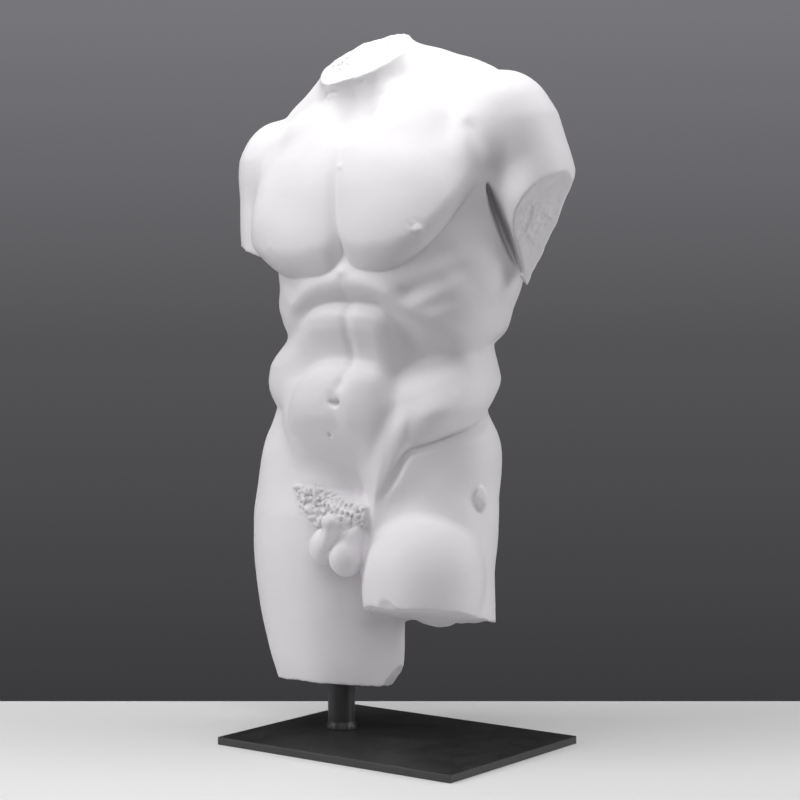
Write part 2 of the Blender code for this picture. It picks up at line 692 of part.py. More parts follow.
def fill_pinches(values):
    """Fill corners where the stone would touch itself only at a corner or along an edge."""
    shape = [n - 1 for n in values.shape]
    for j, k in itertools.product((0, 1), repeat=2):
        ends = []
        for i, m, n in ((0, j, k), (1, 1 - j, 1 - k)):
            ends.append(values[i:shape[0] + i, m:shape[1] + m, n:shape[2] + n])
        count = sum((values[i:shape[0] + i, m:shape[1] + m, n:shape[2] + n] < 0).astype(int)
                    for i, m, n in itertools.product((0, 1), repeat=3))
        ends[0][(count == 2) & (ends[0] < 0) & (ends[1] < 0)] = 0.1
        ends[0][(count == 6) & (ends[0] >= 0) & (ends[1] >= 0)] = -0.1
    for turn in range(3):
        for u, v in ((0, 1), (1, 2), (2, 0)):
            views = []
            for i, j in ((0, 0), (1, 1), (0, 1), (1, 0)):
                window = [slice(None)] * 3
                window[u] = slice(i, values.shape[u] - 1 + i)
                window[v] = slice(j, values.shape[v] - 1 + j)
                views.append(values[tuple(window)])
            a, b, c, d = [view < 0 for view in views]
            views[2][a & b & ~c & ~d] = -0.1
            views[0][c & d & ~a & ~b] = -0.1


def crossing_cells(values, cell):
    """A point in the middle of the crossings of each mixed cell, and the cells' numbers."""
    inside = values < 0
    shape = [n - 1 for n in values.shape]
    count = np.zeros(shape, int)
    for i, j, k in itertools.product((0, 1), repeat=3):
        count += inside[i:shape[0] + i, j:shape[1] + j, k:shape[2] + k]
    mixed = (count > 0) & (count < 8)
    cells = np.argwhere(mixed)
    number = np.full(shape, -1)
    number[mixed] = np.arange(len(cells))
    total = np.zeros((len(cells), 3))
    hits = np.zeros(len(cells))
    for axis, i, j in itertools.product(range(3), (0, 1), (0, 1)):
        start = np.insert([i, j], axis, 0)
        end = np.insert([i, j], axis, 1)
        a = values[tuple((cells + start).T)]
        b = values[tuple((cells + end).T)]
        hit = (a < 0) != (b < 0)
        spot = start + np.where(hit, a / np.where(hit, a - b, 1.0), 0.0)[:, None] * (end - start)
        total += spot * hit[:, None]
        hits += hit
    return np.asarray(LOW, float) + cell * (cells + total / hits[:, None]), number


def quads_between(values, number):
    """A four-sided face across every grid edge that the surface crosses, facing out."""
    inside = values < 0
    quads = []
    for axis in range(3):
        u, v = [(1, 2), (2, 0), (0, 1)][axis]
        here = [slice(1, -1)] * 3
        here[axis] = slice(0, -1)
        ahead = list(here)
        ahead[axis] = slice(1, None)
        a = inside[tuple(here)]
        b = inside[tuple(ahead)]
        for leaving, edges in ((True, a & ~b), (False, ~a & b)):
            spots = np.argwhere(edges)
            spots[:, u] += 1
            spots[:, v] += 1
            ring = []
            for du, dv in ((0, 0), (-1, 0), (-1, -1), (0, -1)):
                cell = spots.copy()
                cell[:, u] += du
                cell[:, v] += dv
                ring.append(number[tuple(cell.T)])
            ring = np.stack(ring, 1)
            quads.append(ring if leaving else ring[:, ::-1])
    return np.concatenate(quads)


def settle(field, points, quads, cell, rounds):
    """Even the points out and drop them onto the surface."""
    pairs = np.concatenate([quads[:, [k, (k + 1) % 4]] for k in range(4)])
    pairs = np.concatenate([pairs, pairs[:, ::-1]])
    count = np.bincount(pairs[:, 0], minlength=len(points))
    h = cell * 0.4
    for turn in range(rounds):
        mean = [np.bincount(pairs[:, 0], points[pairs[:, 1], k], len(points)) / count for k in range(3)]
        points = points + 0.6 * (np.stack(mean, 1) - points)
        slope = np.stack([field(points + h * e) - field(points - h * e) for e in np.eye(3)], 1) / (2 * h)
        steep = np.maximum((slope ** 2).sum(1), 0.05)
        step = -field(points)[:, None] * slope / steep[:, None]
        size = np.maximum(np.linalg.norm(step, axis=1), 1e-9)
        points = points + step * np.minimum(1.0, cell * 0.8 / size)[:, None]
    return points


def skin(field, cell, rounds=2):
    """Points in millimetres and four-sided faces of the closed surface of a field."""
    values = sample_grid(field, cell)
    fill_pinches(values)
    points, number = crossing_cells(values, cell)
    quads = quads_between(values, number)
    return settle(field, points, quads, cell, rounds), quads


# ---------------------------------------------------------------------------------------------
# Solids
# ---------------------------------------------------------------------------------------------
def clear_scene():
    """Start from an empty scene."""
    for thing in list(bpy.data.objects):
        bpy.data.objects.remove(thing, do_unlink=True)


def collection(name):
    """A new collection in the scene."""
    made = bpy.data.collections.new(name)
    bpy.context.scene.collection.children.link(made)
    return made


def material(name, color, roughness, metallic=0.0):
    """A plain Principled material."""
    made = bpy.data.materials.new(name)
    made.use_nodes = True
    shader = made.node_tree.nodes["Principled BSDF"]
    shader.inputs["Base Color"].default_value = (*color, 1.0)
    shader.inputs["Roughness"].default_value = roughness
    shader.inputs["Metallic"].default_value = metallic
    return made


def place(thing, name, home, surface=None):
    """Name an object, give it its material and put it in its collection."""
    for old in list(thing.users_collection):
        old.objects.unlink(thing)
    home.objects.link(thing)
    thing.name = name
    if surface:
        thing.data.materials.append(surface)
    return thing


def add_base_plate(home, surface):
    """The flat plate, with softened edges."""
    bpy.ops.mesh.primitive_cube_add(size=1.0, location=(0, 0, PLATE_THICK / 2 * MM))
    plate = place(bpy.context.object, "base_plate", home, surface)
    plate.scale = (PLATE_WIDE * MM, PLATE_DEEP * MM, PLATE_THICK * MM)
    bpy.ops.object.transform_apply(location=False, rotation=False, scale=True)
    bevel = plate.modifiers.new("edges", "BEVEL")
    bevel.width = PLATE_EDGE * MM
    bevel.segments = 2
    return plate


def post_profile():
    """Radius and height down the post, widening into the weld at its foot."""
    foot = PLATE_THICK + GAP
    profile = [(0.0, POST_TOP), (POST_RADIUS - 1.0, POST_TOP), (POST_RADIUS, POST_TOP - 1.0)]
    for step in range(6):
        t = step / 5.0
        profile.append((POST_RADIUS + WELD_REACH * t ** 2, foot + 1.0 + (WELD_HEIGHT - 1.0) * (1.0 - t)))
    return profile + [(POST_RADIUS + WELD_REACH, foot), (0.0, foot)]


def add_post(home, surface):
    """The round bar, turned from its profile."""
    mesh = bpy.data.meshes.new("post")
    profile = [(radius * MM, 0.0, height * MM) for radius, height in post_profile()]
    mesh.from_pydata(profile, [(i, i + 1) for i in range(len(profile) - 1)], [])
    post = place(bpy.data.objects.new("post", mesh), "post", home, surface)
    post.location = (POST_X * MM, 0.0, 0.0)
    screw = post.modifiers.new("turn", "SCREW")
    screw.steps = 40
    screw.render_steps = 40
    screw.use_merge_vertices = True
    screw.merge_threshold = 0.00001
    return post


def add_socket_cutter(home):
    """The hole in the thigh that the post stands in."""
    depth = POST_TOP + GAP - 30.0
    bpy.ops.mesh.primitive_cylinder_add(vertices=40, radius=(POST_RADIUS + GAP) * MM, depth=depth * MM,
                                        location=(POST_X * MM, 0, (30.0 + depth / 2) * MM))
    cutter = place(bpy.context.object, "socket_cutter", home)
    cutter.hide_render = True
    cutter.display_type = "WIRE"
    return cutter


def add_torso(home, surface, cutter):
    """The figure: skin of the field, thinned to its faces and bored for the post."""
    points, quads = skin(torso_field(), CELL)
    mesh = bpy.data.meshes.new("torso")
    mesh.from_pydata((points * MM).tolist(), [], quads.tolist())
    torso = place(bpy.data.objects.new("torso", mesh), "torso", home, surface)
    thin = torso.modifiers.new("thin", "DECIMATE")
    thin.ratio = FACES / (2.0 * len(quads))
    bore = torso.modifiers.new("bore", "BOOLEAN")
    bore.operation = "DIFFERENCE"
    bore.solver = "EXACT"
    bore.object = cutter
    return torso


def main():
    """Build the torso and its stand."""
    clear_scene()
    home = collection("marble_torso")
    cutters = collection("cutters")
    marble = material("marble", (0.86, 0.86, 0.85), 0.55)
    steel = material("black_metal", (0.012, 0.012, 0.013), 0.4)
    add_base_plate(home, steel)
    add_post(home, steel)
    add_torso(home, marble, add_socket_cutter(cutters))


main()
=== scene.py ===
"""Looks of the marble torso and its steel stand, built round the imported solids.

The stone is cut from the same field of distances as the solid torso, on a finer grid and with
the small carving added: curls, nipples, drilled marks, tendons and the crumbled breaks. It has
no socket, so the top of the post runs into it.
"""
import itertools
import math

import bpy
import numpy as np
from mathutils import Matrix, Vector


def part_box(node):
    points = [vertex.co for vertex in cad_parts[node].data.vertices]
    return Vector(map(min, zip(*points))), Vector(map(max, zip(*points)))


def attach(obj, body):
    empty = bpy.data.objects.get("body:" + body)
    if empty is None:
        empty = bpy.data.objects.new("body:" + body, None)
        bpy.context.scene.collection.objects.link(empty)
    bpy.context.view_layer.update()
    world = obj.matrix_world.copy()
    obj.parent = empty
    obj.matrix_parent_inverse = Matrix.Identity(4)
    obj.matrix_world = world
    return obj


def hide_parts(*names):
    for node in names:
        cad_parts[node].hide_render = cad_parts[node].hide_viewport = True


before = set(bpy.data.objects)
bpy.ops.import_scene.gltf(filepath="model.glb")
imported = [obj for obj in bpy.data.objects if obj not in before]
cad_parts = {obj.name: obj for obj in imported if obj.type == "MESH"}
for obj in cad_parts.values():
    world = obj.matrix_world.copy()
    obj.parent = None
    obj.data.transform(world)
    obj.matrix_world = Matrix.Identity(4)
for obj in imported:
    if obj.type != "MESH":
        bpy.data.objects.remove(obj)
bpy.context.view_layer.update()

MM = 0.001

# Camera and table
VIEW_AZIMUTH = 36.81
VIEW_DOWN = 1.876
VIEW_AWAY = 2.244
VIEW_HEIGHT = 0.4726
VIEW_LENS = 87.65
VIEW_SHIFT = 0.0034
TABLE_LEFT = 0.60
TABLE_RIGHT = 1.30
TABLE_BACK = 0.265
TABLE_FRONT = 0.40

# Lights: position to the right, toward the camera and up, width, height and watts
LIGHTS = [((-1.2, 0.5, 1.9), 1.2, 1.2, 7.5),
          ((0.0, 0.1, 1.5), 1.0, 1.0, 9.2),
          ((-1.9, 0.4, 1.4), 1.0, 1.2, 10.2),
          ((-1.9, 0.3, 0.7), 1.0, 1.4, 7.2),
          ((1.9, 0.2, 0.9), 0.8, 1.6, 15.5),
          ((0.0, 2.0, 1.9), 1.2, 1.0, 7.8),
          ((-1.1, 1.7, 1.7), 1.0, 1.0, 1.4),
          ((0.0, 2.4, 0.9), 1.4, 1.0, 6.0),
          ((1.4, 1.7, 0.9), 1.0, 1.2, 1.6)]

LIGHT_AIM = Vector((0.0, 0.0, 0.5))
BACKDROP_BAND = 0.19  # how far above and below level the painted light on the backdrop fades

# Post
BAR_EDGE = 1.0 * MM
SHAFT_TOP = 1.5 * MM  # from the top down to the plain shaft
SHAFT_SPARE = 11.0 * MM  # how much shorter the plain shaft is than the post
WELD_OUT = 2.6 * MM
WELD_HIGH = 8.0 * MM
RIPPLE = 0.35 * MM
RIPPLE_HIGH = 9.0 * MM
TURNS = 128  # points round the bar
SHAFT_STEPS = 24
BEAD_STEPS = 12
RIPPLES = 23

# Inputs and outputs of the mix nodes, whose names repeat
COLOR_A = 6
COLOR_B = 7
COLOR_MIXED = 2
SHADER_A = 1
SHADER_B = 2

# Stone
# Grey specks over the neck break, the arm break and the hair: painted shade of their pits and drilled
# hollows, with dirt held in the broken stone.
SHADE_AND_GRIME_SPOTS = [((-0.073, -0.012, 0.790), 0.032, 0.60),  # centre, reach and share of grey
         ((0.210, -0.020, 0.590), 0.050, 0.18),
         ((-0.062, -0.082, 0.287), 0.024, 0.60),
         ((-0.032, -0.095, 0.276), 0.026, 0.60),
         ((-0.004, -0.098, 0.274), 0.022, 0.60),
         ((0.018, -0.095, 0.272), 0.018, 0.60)]
FACES = 190000  # triangles left after thinning
CELL = 2.2
BREAK_OCTAVES = 3
LOW = (-246.0, -150.0, 42.0)  # the block of space the figure is cut from
HIGH = (250.0, 140.0, 846.0)
CHUNK = 400000
CELL_CORNERS = list(itertools.product((0, 1), repeat=3))
RIGHT = 0  # the figure's own right, at -x
LEFT = 1
FAR = 1000.0
BAND = 26.0  # how far from the surface the distances have to hold

# The trunk unrolls around this upright axis, so many millimetres of arc to a radian.
TRUNK_AXIS = (-8.0, 6.0)
TRUNK_SPAN = 120.0
# Where the midline of the front runs: height, arc.
MIDLINE = [(285, -7), (360, -7), (400, -1), (445, 6), (545, 6), (600, 1), (660, -6), (720, -12)]

# Level sections: height, centre across, centre back, half width, half depth.
BELLY_ROWS = [(205, -22, 0, 72, 64), (240, -24, 0, 100, 80), (290, -23, 0, 113, 88),
              (340, -23, 1, 126, 91), (382, -25, 2, 134, 92), (430, -20, 3, 129, 91),
              (470, -12, 4, 127, 91), (520, -4, 4, 118, 90)]
RIB_ROWS = [(425, -6, 8, 108, 82), (450, -7, 7, 125, 91), (472, -8, 6, 134, 97),
            (500, -8, 6, 144, 100), (530, -4, 7, 151, 101), (570, -2, 8, 155, 101),
            (620, 0, 9, 155, 99), (665, -3, 10, 148, 92), (705, -9, 13, 126, 80),
            (745, -16, 20, 84, 58)]
RIGHT_THIGH_ROWS = [(40, -82, 0, 68, 70), (62, -83, 0, 70, 72), (100, -86, -2, 77, 79),
                    (158, -92, -5, 82, 86), (220, -97, -7, 83, 89), (262, -98, -4, 85, 88),
                    (305, -93, 3, 83, 80), (350, -84, 8, 74, 67), (400, -76, 8, 60, 54)]
LEFT_THIGH_ROWS = [(100, 64, -22, 70, 72), (150, 62, -20, 72, 73), (200, 58, -16, 71, 75),
                   (250, 54, -5, 73, 74), (300, 48, 6, 73, 72), (345, 40, 10, 68, 68)]

# Borders on the unrolled trunk: arc from the midline, height.
RIB_EDGE = {RIGHT: [(0, 516), (55, 512), (82, 503), (104, 484), (124, 474), (230, 474),
                    (300, 445), (380, 420)],
            LEFT: [(0, 516), (44, 513), (64, 505), (88, 486), (113, 468), (148, 458), (185, 465),
                   (215, 474), (300, 445), (380, 420)]}
GROIN_FOLD = {RIGHT: [(0, 262), (50, 274), (68, 290), (78, 304), (88, 322), (94, 350), (99, 374),
                      (110, 384), (126, 388), (180, 391), (380, 402)],
              LEFT: [(0, 262), (40, 278), (64, 291), (81, 310), (92, 328), (101, 345), (119, 350),
                     (150, 359), (188, 372), (225, 392), (380, 404)]}
# Where the ribs begin to fall away to the waist, and where the flank pads begin below it.
RIB_MARGIN = {RIGHT: [(0, 505), (80, 498), (110, 488), (150, 480), (380, 440)],
              LEFT: [(0, 512), (60, 510), (90, 500), (110, 490), (135, 478), (155, 470), (215, 470),
                     (380, 440)]}
PAD_TOP = {RIGHT: [(0, 520), (55, 516), (82, 508), (104, 492), (124, 482), (230, 482), (300, 453),
                   (380, 428)],
           LEFT: [(60, 414), (83, 424), (113, 437), (146, 454), (165, 464), (215, 474), (300, 450),
                  (380, 425)]}
# The inner border of each flank pad: height, arc.
PAD_INNER = {RIGHT: [(300, 50), (345, 70), (380, 84), (450, 84)],
             LEFT: [(285, 30), (300, 34), (324, 42), (345, 54), (376, 66), (395, 71), (413, 73),
                    (440, 75)]}
# Where the left half of the belly wall ends: height, arc.
BELLY_BORDER = [(285, 52), (315, 60), (345, 72), (380, 80), (520, 80)]
PAD_THICK = {RIGHT: 18.0, LEFT: 16.5}
PEC_THICK = 21.0
# How far the belly wall stands out along the midline: height, rise.
BELLY_SWELL = [(262, -50), (285, -46), (305, -37), (325, -23), (345, -8), (365, 4), (385, 12),
               (402, 14), (415, 13), (425, 10.5), (433, 5), (441, -4), (449, -7.5), (460, -4.5),
               (472, 1), (484, 6), (495, 7.5), (503, 4), (511, -1.5), (520, -2.5)]
HAIR_THICK = 5.0
# Upper and lower edge of the hair: arc, height.
HAIR_TOP = [(-84, 303), (-44, 296), (-23, 291), (23, 285), (50, 280)]
HAIR_LOW = [(-60, 262), (-45, 254), (-15, 250), (15, 250), (34, 260), (50, 268)]
# The lower edge of the chest's arch: arc, height.
ARCH = [(-118, 495), (-90, 513), (-50, 529), (-14, 535), (14, 535), (44, 529), (70, 513), (90, 486)]
# How far the wall of the belly hangs below its level at the midline: arc, drop.
SAG = [(-90, 12), (-60, 2), (-30, -1), (0, 0), (30, 2), (55, 8), (72, 20), (90, 24)]
# The fold between chest and left arm, as points in space.
CHEST_EDGE = [(130, -52, 712), (141, -58, 695), (151, -58, 668), (157, -53, 640)]
# The crease under the left hip: arc, height.
FOLD_CREASE = [(54, 284), (70, 298), (83, 315), (93, 334), (104, 346), (122, 351), (150, 359),
               (188, 372), (225, 394)]
# Ribs and serratus: centre, half sizes, turn in degrees, height of the rise.
RIB_MOUNDS = [((91, 523), (21, 11), 18, -9.0), ((74, 535), (14, 10), 10, -1.5),
              ((112, 508), (15, 9), 22, -3.0), ((117, 564), (13, 9), 25, -2.0),
              ((131, 545), (12, 9), 30, -2.4), ((143, 529), (12, 9), 30, -2.2),
              ((126, 488), (18, 9), 20, -1.8), ((108, 543), (18, 10), 28, 1.8),
              ((122, 523), (20, 10), 26, 2.0), ((134, 504), (22, 10), 24, 1.8),
              ((98, 503), (18, 9), 26, 0.6)]


# --- Shaping kit. Everything in this part is in millimetres: x to the figure's left, y to its back,
# z up, with the origin under the middle of the plate. A shape is a function from points to
# signed distances, negative inside.
def ramp(x):
    """Smooth step from 0 to 1."""
    x = np.clip(x, 0.0, 1.0)
    return x * x * (3.0 - 2.0 * x)


def shelf(x, sharp):
    """Quick rise out of a crease that rounds over to 1."""
    return (1.0 - (1.0 - np.clip(x, 0.0, 1.0)) ** 2) ** sharp


def merge(a, b, fillet):
    """Union of two distances with a fillet between them."""
    overlap = np.maximum(fillet - np.abs(a - b), 0.0) / fillet
    return np.minimum(a, b) - overlap * overlap * fillet * 0.25


def floats(values):
    """An array of decimal numbers."""
    return np.asarray(values, float)


def unit(direction):
    """The direction at a length of one."""
    direction = floats(direction)
    return direction / np.linalg.norm(direction)


def within(p, centre, reach):
    """Which points lie closer to the centre than the reach."""
    return ((p - centre) ** 2).sum(1) < reach ** 2


def apply_steps(steps, p, d):
    """The distances after each step has worked on the points near it."""
    for step in steps:
        m = step.near(p, d)
        if m.any():
            d[m] = step.apply(p[m], d[m])
    return d


def spline(x, table):
    """Smooth curve through (position, value) rows that never overshoots them."""
    xs, ys = floats(table).T
    width = np.diff(xs)
    slope = np.diff(ys) / width
    bend = np.zeros(len(xs))
    both = slope[:-1] + slope[1:]
    same = slope[:-1] * slope[1:] > 0
    bend[1:-1] = np.where(same, 2.0 * slope[:-1] * slope[1:] / np.where(both == 0, 1.0, both), 0.0)
    bend[[0, -1]] = slope[[0, -1]]
    i = np.clip(np.searchsorted(xs, x) - 1, 0, len(xs) - 2)
    t = np.clip((x - xs[i]) / width[i], 0.0, 1.0)
    start = (1.0 + 2.0 * t) * (1.0 - t) ** 2 * ys[i] + t * (1.0 - t) ** 2 * width[i] * bend[i]
    end = t * t * (3.0 - 2.0 * t) * ys[i + 1] + t * t * (t - 1.0) * width[i] * bend[i + 1]
    return start + end


def axes_of(along, out):
    """Rows of a turned frame: across, out and along."""
    along = unit(along)
    out = floats(out)
    out = unit(out - along * (out @ along))
    return np.stack([np.cross(along, out), out, along])


class Lump:
    """An ellipsoid muscle: half sizes across, out and along, blended in with a fillet."""

    def __init__(self, centre, half, along=(0, 0, 1), out=(0, -1, 0), fillet=14.0):
        self.centre = floats(centre)
        self.half = floats(half)
        self.turn = axes_of(along, out)
        self.fillet = fillet
        self.reach = max(half) + fillet + BAND

    def near(self, p):
        return within(p, self.centre, self.reach)

    def distance(self, p):
        q = (p - self.centre) @ self.turn.T
        size = np.linalg.norm(q / self.half, axis=1)
        steep = np.linalg.norm(q / self.half ** 2, axis=1)
        return size * (size - 1.0) / np.maximum(steep, 1e-9)


class Loft:
    """A body through level sections: rows of height, centre across, centre back, half width
    and half depth, along a straight line from the foot."""

    def __init__(self, rows, power=2.1, foot=(0, 0, 0), along=(0, 0, 1), ends=16.0, fillet=14.0):
        rows = floats(rows)
        self.curves = [rows[:, [0, k]] for k in range(1, 5)]
        self.low = rows[0, 0]
        self.high = rows[-1, 0]
        self.power = power
        self.foot = floats(foot)
        self.turn = axes_of(along, (0, -1, 0))
        self.ends = ends
        self.fillet = fillet

    def near(self, p):
        height = (p - self.foot) @ self.turn[2]
        return (height > self.low - self.fillet - BAND) & (height < self.high + self.fillet + BAND)

    def distance(self, p):
        q = (p - self.foot) @ self.turn.T
        across, back, wide, deep = [spline(q[:, 2], curve) for curve in self.curves]
        x = np.abs(q[:, 0] - across) / wide
        y = np.abs(-q[:, 1] - back) / deep
        size = np.maximum((x ** self.power + y ** self.power) ** (1.0 / self.power), 1e-6)
        radius = np.hypot(q[:, 0] - across, q[:, 1] + back)
        side = np.where(size > 0.05, radius - radius / size, -np.minimum(wide, deep))
        cap = np.abs(q[:, 2] - (self.low + self.high) / 2.0) - (self.high - self.low) / 2.0
        return -merge(-side, -cap, self.ends)


def lattice(i, j, k, seed):
    """Random value from 0 to 1 for each whole-number corner."""
    value = np.sin(i * 127.1 + j * 311.7 + k * 74.7 + seed * 53.3) * 43758.5453
    return value - np.floor(value)


def noise(p, size, octaves=1, seed=0):
    """Smooth noise from -1 to 1, in cells of the given size and finer."""
    total = np.zeros(len(p))
    reach = 0.0
    for octave in range(octaves):
        gain = 0.5 ** octave
        q = p * (2.0 ** octave / size) + 17.3 * octave
        corner = np.floor(q)
        f = q - corner
        f = f * f * (3.0 - 2.0 * f)
        value = 0.0
        for i, j, k in CELL_CORNERS:
            weight = np.abs(1 - i - f[:, 0]) * np.abs(1 - j - f[:, 1]) * np.abs(1 - k - f[:, 2])
            value = value + weight * lattice(corner[:, 0] + i, corner[:, 1] + j, corner[:, 2] + k,
                                             seed + octave)
        total += gain * (2.0 * value - 1.0)
        reach += gain
    return total / reach


class Break:
    """A rough plane where the stone broke: what lies beyond it is gone."""

    def __init__(self, point, outward, rough, size, seed=1):
        self.point = floats(point)
        self.outward = unit(outward)
        self.rough = rough
        self.size = size
        self.seed = seed

    def level(self, p):
        level = (p - self.point) @ self.outward
        close = np.abs(level) < 16.0
        level[close] += self.rough * noise(p[close], self.size, BREAK_OCTAVES, self.seed)
        return level

    def trim(self, p, d):
        return np.maximum(d, self.level(p))


class HollowBreak:
    """Two rough planes that meet in a hollow: only what lies beyond both of them is gone."""

    def __init__(self, *planes):
        self.planes = planes

    def trim(self, p, d):
        return np.maximum(d, np.minimum(*[plane.level(p) for plane in self.planes]))


def mound(u, z, centre, half, turn, height):
    """A rounded rise on the unrolled trunk."""
    angle = math.radians(turn)
    x = (u - centre[0]) * math.cos(angle) + (z - centre[1]) * math.sin(angle)
    y = (z - centre[1]) * math.cos(angle) - (u - centre[0]) * math.sin(angle)
    return height * np.exp(-(x / half[0]) ** 2 - (y / half[1]) ** 2)


def smooth_line(corners, steps=5):
    """Points on a smooth curve through the corners."""
    c = floats(corners)
    c = np.vstack([2 * c[0] - c[1], c, 2 * c[-1] - c[-2]])
    line = []
    for i in range(1, len(c) - 2):
        p0, p1, p2, p3 = c[i - 1:i + 3]
        for t in np.arange(steps) / steps:
            line.append(0.5 * (2 * p1 + (p2 - p0) * t + (2 * p0 - 5 * p1 + 4 * p2 - p3) * t ** 2
                               + (3 * p1 - p0 - 3 * p2 + p3) * t ** 3))
    return np.array(line + [c[-2]])


def beside(q, corners):
    """Distance to a smooth curve, and how far along it the nearest spot is, from 0 to 1."""
    line = smooth_line(corners)
    steps = np.diff(line, axis=0)
    lengths = np.linalg.norm(steps, axis=1)
    run = np.concatenate([[0.0], np.cumsum(lengths)])
    gap = np.full(len(q), FAR)
    along = np.zeros(len(q))
    for i, (step, length) in enumerate(zip(steps, lengths)):
        away = q - line[i]
        t = np.clip(away @ step / length ** 2, 0.0, 1.0)
        distance = np.linalg.norm(away - t[:, None] * step, axis=1)
        closer = distance < gap
        gap[closer] = distance[closer]
        along[closer] = (run[i] + t[closer] * length) / run[-1]
    return gap, along


def stroke(q, corners, width, height, fade=0.15):
    """A soft ridge along a smooth curve, dying away at both ends."""
    gap, along = beside(q, corners)
    ends = ramp(along / fade) * ramp((1.0 - along) / fade)
    return height * np.exp(-(gap / width) ** 2) * ends


# --- The trunk: a rib cage over a belly, with the muscles as relief on the unrolled surface.
def unroll(p):
    """Arc to the figure's left of the midline, at the radius TRUNK_SPAN, and height."""
    u = TRUNK_SPAN * np.arctan2(p[:, 0] - TRUNK_AXIS[0], TRUNK_AXIS[1] - p[:, 1])
    return u - spline(p[:, 2], MIDLINE), p[:, 2]


def flat(u, z):
    """Points on the unrolled trunk."""
    return np.stack([u, z], 1)


def sides(u, right, left):
    """The value for the figure's right or left side, running over at the midline."""
    share = ramp((u + 9.0) / 18.0)
    return right + (left - right) * share


def by_side(u, curves):
    """The curve of the side that the point is on."""
    a = np.abs(u)
    return sides(u, spline(a, curves[RIGHT]), spline(a, curves[LEFT]))


def pectorals(u, z):
    """Chest plates with a rounded lower border; the hanging arm pushes the right one out."""
    a = np.abs(u)
    knee = sides(u, 92.0, 50.0)
    low = sides(u, 539.0, 544.0)
    rise = sides(u, 70.0, 84.0)
    border = low + rise * (np.clip(a - knee, 0, None) / 95.0) ** 2
    border = border + sides(u, 35.0, 25.0) * np.exp(-a / 12.0)
    up = shelf((z - border) / 34.0, 0.85)
    fade = 1.0 - 0.55 * ramp((z - 640.0) / 90.0)
    side = 1.0 - ramp((a - 165.0) / 50.0)
    furrow = 1.0 - (0.42 - 0.22 * ramp((z - 590.0) / 90.0)) * np.exp(-(u / 9.0) ** 2)
    height = PEC_THICK * up * fade * side * furrow * (0.7 + 0.3 * ramp(a / 50.0))
    height += mound(u, z, (-122, 604), (36, 52), 0, 15.0) * up
    height += mound(a, z, (74, 588), (60, 42), 0, 5.0)
    return height


def rib_relief(u, z):
    """Relief over the rib cage: chest, costal arch, ribs, and the spine behind."""
    a = np.abs(u)
    height = pectorals(u, z)
    height += stroke(flat(u, z), ARCH, 13, 7.0, 0.2)
    height += mound(u, z, (0, 546), (9, 7), 0, 3.0)
    height -= stroke(flat(u, z), [(0, 545), (0, 500)], 7, 1.5)
    lean = sides(u, 0.4, 0.85)
    for centre, half, turn, rise in RIB_MOUNDS:
        height += lean * mound(a, z, centre, half, turn, rise)
    height -= under_ribs(u, z)
    behind = ramp((a - 290.0) / 60.0)
    spine = TRUNK_SPAN * math.pi - a
    height -= 9.0 * np.exp(-(spine / 16.0) ** 2) * behind
    height += 6.0 * np.exp(-((spine - 34.0) / 20.0) ** 2) * behind * ramp((640.0 - z) / 80.0)
    return height


def under_ribs(u, z):
    """Depth of the slope that runs in from the edge of the ribs to the top of the flank pad."""
    a = np.abs(u)
    start = by_side(u, RIB_MARGIN) + 4.0 - z
    end = z + 24.0 - by_side(u, PAD_TOP)
    window = ramp((a - 40.0) / 64.0) * ramp((170.0 - a) / 60.0)
    return sides(u, 2.5, 21.0) * window * ramp(start / 46.0) * ramp(end / 38.0)


def rectus(u, z):
    """The belly wall: blocks under the arch, then the long swell, with the midline let in."""
    a = np.abs(u)
    inner = sides(u, 112.0, spline(z, BELLY_BORDER))
    inside = shelf((inner - a) / 66.0, 1.25)
    height = inside * spline(z + spline(u, SAG), BELLY_SWELL)
    height -= stroke(flat(u, z), [(0, 515), (0, 470), (0, 430), (-1, 408)], 9, 3.6, 0.12)
    height -= stroke(flat(u, z), [(0, 400), (0, 360)], 10, 1.4, 0.3)
    return height


def flank_pads(u, z, fold, inner):
    """The swelling over each hip bone, between the ribs and the groin fold."""
    a = np.abs(u)
    low = (z - fold) * sides(u, 1.15, 0.6 + 0.55 * ramp((a - 95.0) / 45.0))
    edges = ramp((by_side(u, PAD_TOP) - z) / sides(u, 46.0, 56.0))
    edges *= ramp((a - inner) / sides(u, 60.0, 52.0))
    front = 1.0 + 0.3 * np.exp(-((a - 120.0) / 50.0) ** 2)
    thick = sides(u, PAD_THICK[RIGHT], PAD_THICK[LEFT] * front) * ramp((z - 310.0) / 86.0)
    return thick * shelf(low / 44.0, 1.15) * edges * (1.0 - ramp((a - 215.0) / 130.0))


def belly_relief(u, z):
    """Relief over the belly: rectus, lower belly, flank pads and navel."""
    fold = by_side(u, GROIN_FOLD)
    height = rectus(u, z)
    a = np.abs(u)
    inner = sides(u, spline(z, PAD_INNER[RIGHT]), spline(z, PAD_INNER[LEFT]))
    seam = ramp((z - 320.0) / 40.0) * ramp((470.0 - z) / 40.0) * sides(u, 0.3, 0.5)
    height -= 5.0 * np.exp(-((a - inner - 2.0) / 12.0) ** 2) * seam
    height += flank_pads(u, z, fold, inner) - under_ribs(u, z)
    height -= mound(u, z, (-1, 399), (4.5, 4), 0, 8.0)
    height -= mound(u, z, (-8, 405), (10, 9), 30, 2.5)
    return height


BELLY = Loft(BELLY_ROWS, power=2.1, ends=24.0)
RIB_CAGE = Loft(RIB_ROWS, power=2.25, ends=20.0)


def trunk(p):
    """Rib cage and belly, the ribs ending at their lower edge."""
    u, z = unroll(p)
    belly = BELLY.distance(p) - belly_relief(u, z)
    ribs = RIB_CAGE.distance(p) - rib_relief(u, z)
    edge = (by_side(u, RIB_EDGE) - z) * 0.8
    ribs = -merge(-ribs, -edge, 12.0)
    return merge(belly, ribs, 12.0)


